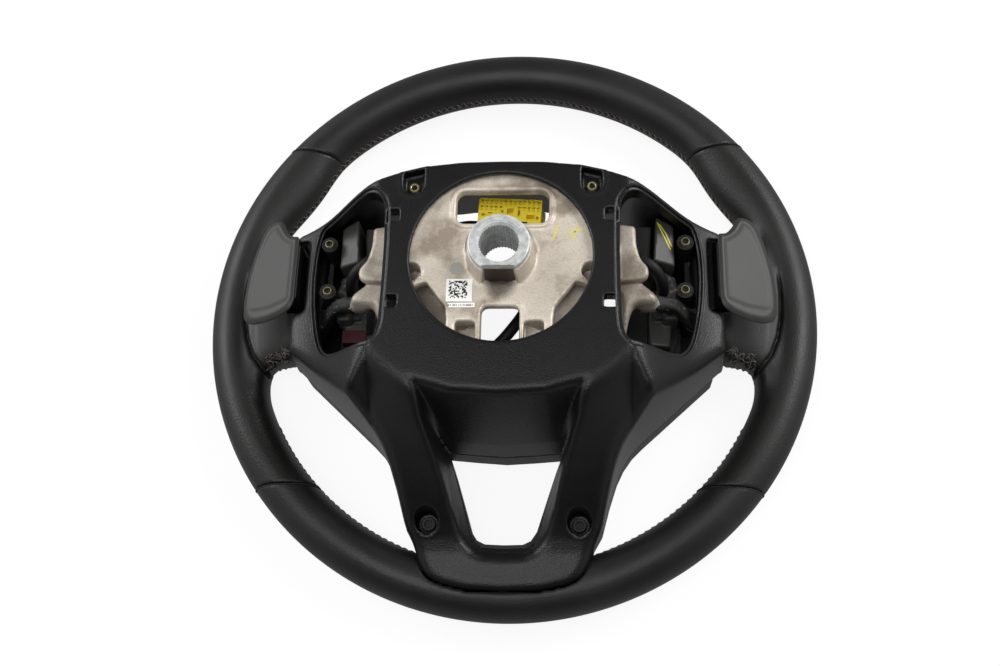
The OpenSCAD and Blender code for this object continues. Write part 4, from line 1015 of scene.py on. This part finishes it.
def housingField(x, y, z):
    ax = np.abs(x)
    # Two boxes under the window, and a smaller one with a step below them
    slope = 0.5 * (ax - 92)
    box = smoothMax(polygonDistance(upperBox, ax, y), np.abs(z - 45 + slope) - 25, 1.2)
    lid = smoothMax(polygonDistance(sideBox, ax, y), np.abs(z - 39) - 21, 1.2)
    small = smoothMax(polygonDistance(lowerBox, ax, y), np.abs(z - 35) - 15, 1.2)
    step = roundBox(ax - 90.5, y + 9, z - 51, (3.6, 7.5, 2.5), 0.8)
    # Base plate, and the bezel with three holes for the buttons
    base = smoothMax(polygonDistance(basePlate, ax, y), np.abs(z - 21.5) - 1.5, 0.8)
    bezel = np.maximum(boxDistance(ax - 88, y + 4, 17, 25, 6), np.abs(z - 15.75) - 4.25)
    for k in (-1, 0, 1):
        bezel = np.maximum(bezel, -boxDistance(ax - 88, y + 4 - 14 * k, 12.3, 5.8, 3.3))
    # Screw lug and the rumpled flap beside it
    lug = np.maximum(boxDistance(ax - 96, y + 15, 4.2, 4.6, 1.5), np.abs(z - 52) - 8)
    lug = smoothMax(lug, -np.maximum(np.hypot(ax - 96, y + 15) - 1.7, 56 - z), 0.4)
    fold = 0.9 * np.sin(ax * 0.9 + y * 0.5) + 0.7 * np.sin(y * 0.8 - ax * 0.3)
    flap = smoothMax(polygonDistance(flapOutline, ax, y), np.abs(z - 57 - fold + 0.35 * (ax - 94)) - 1.2, 0.6)
    body = np.minimum(smoothMin(box, lid, 0.6), smoothMin(small, step, 0.6))
    return np.minimum(np.minimum(body, smoothMin(lug, flap, 0.6)), np.minimum(base, bezel))


for side, sign in hands:
    xs = sorted((sign * 66, sign * 107))
    piece = isoMesh(side + "Housing", housingField, (xs[0], -46, 9), (xs[1], 40, 73), 1.0, 1)
    finish(piece, "housing", stands=("switch_housing_" + side,))
print("housings done")

# Screws

screws = {
    "upper": {"places": [(-50.5, 44, 102.1), (50.5, 44, 102.1)], "head": 2.9, "tall": 2.4, "socket": 1.75,
              "material": "zinc", "node": "cover_screws_upper", "slot": "zinc_screw"},
    "lower": {"places": [(-43.1, -134.6, 30.5), (43.1, -134.6, 30.5)], "head": 4.2, "tall": 3.0, "socket": 2.1,
              "material": "darkSteel", "node": "cover_screws_lower", "slot": "grey_screw"},
    "left": {"places": [(-104.6, 24, 71.5), (-103.6, -6.2, 71.5)], "head": 2.5, "tall": 1.8, "socket": 2.05,
             "material": "zinc", "node": "carrier_screws_left", "slot": "grey_screw"},
    "right": {"places": [(104.6, 24, 71.5), (103.6, -6.2, 71.5)], "head": 2.5, "tall": 1.8, "socket": 2.05,
              "material": "zinc", "node": "carrier_screws_right", "slot": "grey_screw"},
}
for name, kind in screws.items():
    r, t, s = kind["head"], kind["tall"], kind["socket"]
    head = lathe(name + "Head", [(s, t - 0.15), (s + 0.2, t), (r - 0.5, t), (r - 0.1, t - 0.35), (r, t - 0.8), (r, 0),
                                 (r * 0.66, 0), (r * 0.66, -10), (0.01, -10), (0.01, t - 1.6), (s, t - 1.6)], 48)
    spots = meshObject(name + "Places", [tuple(v * mm for v in p) for p in kind["places"]], [])
    piece = treeMesh(name + "Screws", pointTree, {"Piece": head, "Places": spots,
                                                  "Material": materials[kind["material"]]})
    finish(piece, kind["material"], stands=(kind["node"],))
    # A black disc inside each socket is painted shade for the depth of the hole
    socketShade = lathe(name + "Core", [(0.01, t - 1.1), (s - 0.02, t - 1.1), (s - 0.02, t - 1.5), (0.01, t - 1.5)], 32)
    socket = treeMesh(name + "Sockets", pointTree, {"Piece": socketShade, "Places": spots, "Material": materials["black"]})
    finish(socket, "black")
    clear(head, socketShade, spots)
print("screws done")

# Leads wrapped in cloth tape

leads = {
    "loom_left": [(-17.5, 36, 70), (-24, 36, 70), (-34, 34, 69), (-46, 29, 68), (-57, 24, 69), (-66, 20, 72),
                  (-74, 15, 75), (-82, 9, 76), (-88, 4, 73), (-91, 0, 66), (-92, -2, 58), (-92, -2, 50.2)],
    "loom_right": [(23, 34, 70), (30, 34, 70), (38, 32, 69), (48, 28, 68), (58, 23, 69), (67, 19, 72),
                   (75, 14, 75), (83, 8, 76), (88, 4, 73), (91, 0, 66), (92, -2, 58), (92, -2, 50.2)],
    "horn_lead": [(19, 23.4, 68), (19.6, 16, 64), (18, 6, 62), (15, -6, 64), (11, -18, 66), (4, -29, 67),
                  (-4, -38, 66), (-14, -45, 64), (-28, -49, 61), (-44, -48, 58), (-58, -42, 56), (-68, -34, 54),
                  (-75, -29, 53.7), (-81.9, -29, 53.7)],
}
for name, route in leads.items():
    path = curvePath(name + "Path", route)
    piece = treeMesh(name + "Tape", tubeTree, {"Path": path, "Radius": 3.4 * mm, "Sides": 20,
                                               "Material": materials["tape"]})
    clear(path)
    finish(piece, "tape", stands=(name,))

# Cross stitches along the inner seam of the rim

seam = {"pitch": 4.4, "proud": 0.55, "arcs": [(21, 159), (208, 250), (290, 332)]}


def stitchPiece():
    steps = np.linspace(-1, 1, 7)
    points, faces = [], []
    for direction in (-1, 1):
        start = len(points)
        for t in steps:
            for k in range(6):
                a = k * math.pi / 3
                points.append((1.8 * t + 0.27 * math.cos(a) * 0.6, direction * 2.8 * t + 0.27 * math.cos(a) * 0.8,
                               0.65 - 0.85 * t * t + 0.3 * math.sin(a) + 0.12 * direction))
        for i in range(len(steps) - 1):
            for k in range(6):
                m = (k + 1) % 6
                a = start + i * 6
                faces.append((a + k, a + m, a + 6 + m, a + 6 + k))
        faces.append(tuple(range(start + 5, start - 1, -1)))
        faces.append(tuple(start + (len(steps) - 1) * 6 + k for k in range(6)))
    return meshObject("stitch", [tuple(v * mm for v in p) for p in points], faces)


stitch = stitchPiece()
for count, (first, last) in enumerate(seam["arcs"]):
    angles = np.radians(np.linspace(first, last, 60))
    mirrored = np.degrees(np.arctan2(np.sin(angles), np.abs(np.cos(angles))))
    radius = rim["ring"] - rim["inner"] - gripSwell(mirrored) + 1.0 - seam["proud"]
    path = curvePath("seamPath%d" % count, [(r * math.cos(a), r * math.sin(a), rim["mid"])
                                            for r, a in zip(radius, angles)])
    piece = treeMesh("stitches%d" % count, seamTree, {"Path": path, "Stitch": stitch, "Pitch": seam["pitch"] * mm,
                                                      "Material": materials["thread"]})
    clear(path)
    finish(piece, "thread")
clear(stitch)

joints = {"pitch": 2.1, "length": 1.5, "thick": 0.42, "offset": 1.0, "from": -75, "to": 195}


def capsule(name, length, thick):
    rows = [(0.01, -length / 2 - thick * 0.6), (thick * 0.8, -length / 2), (thick, -length / 4), (thick, length / 4),
            (thick * 0.8, length / 2), (0.01, length / 2 + thick * 0.6)]
    thing = lathe(name, rows, 8)
    thing.data.transform(Matrix.Rotation(math.pi / 2, 4, "Y"))
    return thing


def jointPoint(sign, seamLine, shift, turn):
    # Point of the ring's skin where a sewn joint's plane crosses it
    wide = rim["outer"] if math.cos(turn) > 0 else rim["inner"] + 0.2
    r = rim["ring"] + wide * math.cos(turn)
    slope, rise = seamLine[2], seamLine[1] + shift - seamLine[2] * seamLine[0]
    ax = (-slope * rise + math.sqrt(r * r * (1 + slope ** 2) - rise ** 2)) / (1 + slope ** 2)
    return sign * ax, rise + slope * ax, rim["mid"] + (rim["deep"] - 0.05) * math.sin(turn)


dash = capsule("dash", joints["length"], joints["thick"])
for sign in (-1, 1):
    for line, shift in ((rim["upperSeam"], joints["offset"]), (rim["lowerSeam"], -joints["offset"])):
        turns = np.radians(np.linspace(joints["from"], joints["to"], 90))
        name = "joint%s%s" % ("Left" if sign < 0 else "Right", "Upper" if shift > 0 else "Lower")
        path = curvePath(name + "Path", [jointPoint(sign, line, shift, t) for t in turns])
        piece = treeMesh(name + "Stitches", seamTree, {"Path": path, "Stitch": dash, "Pitch": joints["pitch"] * mm,
                                                       "Material": materials["darkThread"]})
        clear(path)
        finish(piece, "darkThread")
clear(dash)


def tangleTree():
    tree, values, end = newTree("Loose threads", Thread="Object", Places="Object", Seed="Int", Material="Material")
    turn = addNode(tree, "FunctionNodeRandomValue", {"Seed": values["Seed"]}, data_type="FLOAT_VECTOR")
    turn.inputs[0].default_value, turn.inputs[1].default_value = (-0.35, -0.35, 0), (0.35, 0.35, 6.3)
    size = addNode(tree, "FunctionNodeRandomValue", {"Seed": values["Seed"]}, data_type="FLOAT")
    size.inputs[2].default_value, size.inputs[3].default_value = 0.55, 1.15
    placed = setOn(tree, pointsOf(tree, values["Places"]), shapeOf(tree, values["Thread"]),
                   Rotation=turn.outputs[0], Scale=size.outputs[1])
    closeTree(tree, placed, values, end)
    return tree


# Threads gathered where the spoke's leather is sewn to the ring
gather = {"low": (129.5, -46), "high": (146.5, -32), "count": 120, "radius": 0.26, "span": 4.4, "seed": 11}
threadPath = curvePath("threadPath", [(gather["span"] / 2 * t, 0.9 * math.sin(2.4 * t), 0.5 - 0.8 * t * t)
                                      for t in np.linspace(-1, 1, 9)])
thread = treeMesh("thread", tubeTree, {"Path": threadPath, "Radius": gather["radius"] * mm, "Sides": 6,
                                       "Material": materials["thread"]})
clear(threadPath)
looseTree = tangleTree()
for side, sign in hands:
    draw = np.random.default_rng(gather["seed"])
    spots = draw.uniform(gather["low"], gather["high"], (gather["count"], 2))
    heights = np.arange(62, 10, -0.25)
    field = rimField(spots[:, :1], spots[:, 1:], heights[None, :])
    found = [(sign * x * mm, y * mm, (heights[np.argmax(row < 0)] + 0.1) * mm)
             for (x, y), row in zip(spots, field) if row.min() < 0]
    spots = meshObject("gatherPlaces", found, [])
    piece = treeMesh(side + "Gather", looseTree, {"Thread": thread, "Places": spots, "Seed": gather["seed"],
                                                   "Material": materials["gathered"]})
    clear(spots)
    finish(piece, "gathered")
clear(thread)
print("stitches done")

# Label on the plate

label = {"low": (-29.8, -26.6), "high": (-15.3, -13.1), "z": 104.5, "cells": 14, "code": 10.3, "margin": (1.5, 2.0),
         "share": 0.5, "strip": ((-29.6, -30.0), (-13.7, -27.5)), "ticks": 34, "tickStep": 0.42,
         "tickFrom": (-28.6, -28.8), "tickShare": 0.75}


def flatBox(name, low, high):
    (x0, y0, z0), (x1, y1, z1) = low, high
    points = [(x * mm, y * mm, z * mm) for z in (z0, z1) for y in (y0, y1) for x in (x0, x1)]
    faces = [(0, 2, 3, 1), (4, 5, 7, 6), (0, 1, 5, 4), (2, 6, 7, 3), (0, 4, 6, 2), (1, 3, 7, 5)]
    return meshObject(name, points, faces, smooth=False)


def patternTree():
    tree, values, end = newTree("Printed squares", Square="Object", Places="Object", Share="Float", Seed="Int",
                                Material="Material")
    chance = addNode(tree, "FunctionNodeRandomValue", {"Probability": values["Share"], "Seed": values["Seed"]},
                     data_type="BOOLEAN")
    placed = setOn(tree, pointsOf(tree, values["Places"]), shapeOf(tree, values["Square"]),
                   Selection=chance.outputs[3])
    closeTree(tree, placed, values, end)
    return tree


paper = label["z"] + 0.02
sticker = flatBox("labelSheet", (*label["low"], paper), (*label["high"], paper + 0.2))
finish(sticker, "label", stands=("data_label",))
strip = flatBox("labelStrip", (*label["strip"][0], paper), (*label["strip"][1], paper + 0.18))
finish(strip, "label")
# Random squares and ticks stand for the printed code and text
step = label["code"] / label["cells"]
corner = (label["low"][0] + label["margin"][0], label["low"][1] + label["margin"][1])
codePlaces = meshObject("codePlaces", [((corner[0] + (i + 0.5) * step) * mm, (corner[1] + (j + 0.5) * step) * mm, 0)
                                       for i in range(label["cells"]) for j in range(label["cells"])], [])
square = flatBox("codeSquare", (-step / 2, -step / 2, paper + 0.18), (step / 2, step / 2, paper + 0.24))
code = treeMesh("labelPrint", patternTree(), {"Square": square, "Places": codePlaces, "Share": label["share"],
                                              "Seed": 7, "Material": materials["ink"]})
tickX, tickY = label["tickFrom"]
tickPlaces = meshObject("tickPlaces", [((tickX + label["tickStep"] * i) * mm, tickY * mm, 0)
                                       for i in range(label["ticks"])], [])
tick = flatBox("tick", (-0.14, -0.5, paper + 0.16), (0.14, 0.5, paper + 0.22))
ticks = treeMesh("stripPrint", patternTree(), {"Square": tick, "Places": tickPlaces, "Share": label["tickShare"],
                                               "Seed": 3, "Material": materials["ink"]})
clear(codePlaces, square, tickPlaces, tick)
finish(code, "ink")
finish(ticks, "ink")


def penStroke(name, points, wide=0.8, level=plate["z"], tilt=0.0):
    # Flat ribbon of paint on the hub plate, or on a housing that slopes away
    left, right = [], []
    for i, p in enumerate(points):
        a, b = Vector(points[max(i - 1, 0)]), Vector(points[min(i + 1, len(points) - 1)])
        d = (b - a).normalized() * wide / 2
        left.append((p[0] - d.y, p[1] + d.x))
        right.append((p[0] + d.y, p[1] - d.x))
    n = len(points)
    layers = [[(x * mm, y * mm, (z - tilt * (x - 92)) * mm) for x, y in left + right]
              for z in (level - 0.1, level + 0.06)]
    faces = []
    for i in range(n - 1):
        faces += [(2 * n + i, 3 * n + i, 3 * n + i + 1, 2 * n + i + 1), (i, i + 1, n + i + 1, n + i),
                  (i, 2 * n + i, 2 * n + i + 1, i + 1), (n + i, n + i + 1, 3 * n + i + 1, 3 * n + i)]
    faces += [(0, n, 3 * n, 2 * n), (n - 1, 3 * n - 1, 4 * n - 1, 2 * n - 1)]
    finish(meshObject(name, layers[0] + layers[1], faces, smooth=False), "pen")


penStroke("penSlash", [(28.7, 10.6), (30.1, 14.5), (31.7, 19.2)], 0.9)
penStroke("penHook", [(36.2, 17.2), (37.4, 14.8), (41, 15.2), (46.5, 15.8)])
penStroke("penStem", [(39.2, 10.2), (40.6, 14.4), (42.4, 19)])
penStroke("penBoxLeft", [(88.7, 37), (90.5, 33), (93, 28), (96.4, 21)], level=70.0, tilt=0.5)
penStroke("penBoxRight", [(90, 36), (93.6, 31), (95.8, 26), (97.2, 23)], level=70.0, tilt=0.5)
spot = lathe("inkSpot", [(0.01, 0.07), (3.4, 0.07), (3.9, 0.03), (3.9, -0.1), (0.01, -0.1)], 40,
             (-24.6, -6.9, plate["z"]))
finish(spot, "blue")
print("label done")

# Stained face in the key's recess, and the clip behind the plate

face = flatBox("bossFace", (-8.9, -14.3, 104.2), (8.9, -13.75, 119))
finish(face, "stained")
clip = flatBox("connectorClip", (-10, 22.6, 73), (14, 24.2, 99.4))
finish(clip, "black", stands=("connector_clip",))

# Nodes kept as the frame has them

kept = {"front_trim": ("trim", "trim_black"), "rim_foam": ("foam", "foam_grey"),
        "horn_plug": ("red", "plug_red"), "paddle_carrier_left": ("trim", "trim_black"),
        "paddle_carrier_right": ("trim", "trim_black"), "paddle_pin_left": ("darkSteel", "pin_steel"),
        "paddle_pin_right": ("darkSteel", "pin_steel")}
for side, _ in hands:
    for place in ("top", "middle", "bottom"):
        kept["button_%s_%s" % (side, place)] = ("housing", "trim_black")
for node, (material, slot) in kept.items():
    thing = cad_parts[node]
    thing.data.materials.clear()
    thing.data.materials.append(materials[material])

# Floor, light and camera

room = {"floor": "#f4f4f4", "fill": 0.37, "ceiling": 0.05, "front": 0.1, "middle": 0.22, "floorSheen": 0.4,
        "lampSize": 1.0, "lamps": {"key": ((-0.2, -0.35, 1.8), 13.5), "left": ((-1.65, 0.7, 1.2), 22.0),
                                   "right": ((1.5, 0.8, 1.4), 32.0)}}
floor = meshObject("floor", [(-6, -6, -0.0005), (6, -6, -0.0005), (6, 6, -0.0005), (-6, 6, -0.0005)], [(0, 1, 2, 3)])
# Bright paper white to the camera, a dim plain floor to the light
material, tree, surface = newMaterial("Pale floor", room["floor"], 0.9, specular=0.1)
rays = addNode(tree, "ShaderNodeLightPath").outputs
sheen = remap(tree, rays["Is Glossy Ray"], 0, 1, 1, room["floorSheen"])
glow = addNode(tree, "ShaderNodeEmission", {"Color": linear("#ffffff"), "Strength": sheen})
seen = mathNode(tree, "MAXIMUM", rays["Is Camera Ray"], rays["Is Glossy Ray"])
seen = mathNode(tree, "MAXIMUM", seen, rays["Is Transmission Ray"])
# A little of the floor's own shadow shows through the glow
seen = mathNode(tree, "MULTIPLY", seen, remap(tree, rays["Is Camera Ray"], 0, 1, 1, 0.9))
mix = addNode(tree, "ShaderNodeMixShader", {0: seen, 1: surface.outputs[0], 2: glow.outputs[0]})
tree.links.new(mix.outputs[0], tree.nodes["Material Output"].inputs["Surface"])
floor.data.materials.append(material)
floor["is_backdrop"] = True

world = bpy.data.worlds.new("Studio")
bpy.context.scene.world = world
world.use_nodes = True
tree = world.node_tree
sky = tree.nodes["Background"]
sky.inputs["Color"].default_value = linear("#ffffff")
rays = addNode(tree, "ShaderNodeLightPath").outputs
shown = mathNode(tree, "MAXIMUM", rays["Is Glossy Ray"], rays["Is Transmission Ray"])
# White at the sides and behind, a dim ceiling and a dark front, so that flat black faces stay black
toward = addNode(tree, "ShaderNodeSeparateXYZ", {0: addNode(tree, "ShaderNodeTexCoord").outputs["Generated"]})
height = remap(tree, toward.outputs["Z"], 0.5, 0.86, 1.0, room["ceiling"])
aside = mathNode(tree, "ABSOLUTE", toward.outputs["X"])
height = mathNode(tree, "MULTIPLY", height, remap(tree, aside, 0.25, 0.7, room["middle"], 1))
front = remap(tree, toward.outputs["Y"], -0.75, 0.0, room["front"], 1.0)
dome = mathNode(tree, "MULTIPLY", height, front)
lit = addNode(tree, "ShaderNodeMix", {0: shown, 2: room["fill"], 3: dome})
final = mathNode(tree, "MAXIMUM", lit.outputs[0], rays["Is Camera Ray"])
tree.links.new(final, sky.inputs["Strength"])

for name, (place, power) in room["lamps"].items():
    data = bpy.data.lights.new(name, "AREA")
    data.shape = "SQUARE"
    data.size = room["lampSize"]
    data.energy = power
    light = bpy.data.objects.new(name, data)
    bpy.context.scene.collection.objects.link(light)
    light.location = place
    light.rotation_euler = (-Vector(place)).to_track_quat("-Z", "Y").to_euler()

# The photo's own view, from above the lower part of the wheel
view = {"place": (0.0458, -0.2729, 0.6926), "azimuth": 11.23, "elevation": 68.45, "roll": -10.56, "lens": 42.15}
az, el, roll = (math.radians(view[k]) for k in ("azimuth", "elevation", "roll"))
back = Vector((math.sin(az) * math.cos(el), -math.cos(az) * math.cos(el), math.sin(el)))
right = (-back).cross(Vector((0, 0, 1))).normalized()
up = right.cross(-back)
turned = math.cos(roll) * right + math.sin(roll) * up
raised = -math.sin(roll) * right + math.cos(roll) * up
camera = bpy.data.objects.new("camera", bpy.data.cameras.new("camera"))
bpy.context.scene.collection.objects.link(camera)
camera.data.lens = view["lens"]
camera.data.sensor_width = 36
for i in range(3):
    camera.matrix_world[i][0], camera.matrix_world[i][1] = turned[i], raised[i]
    camera.matrix_world[i][2], camera.matrix_world[i][3] = back[i], view["place"][i]
bpy.context.scene.camera = camera

bpy.context.scene.view_settings.view_transform = "Standard"
low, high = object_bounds()
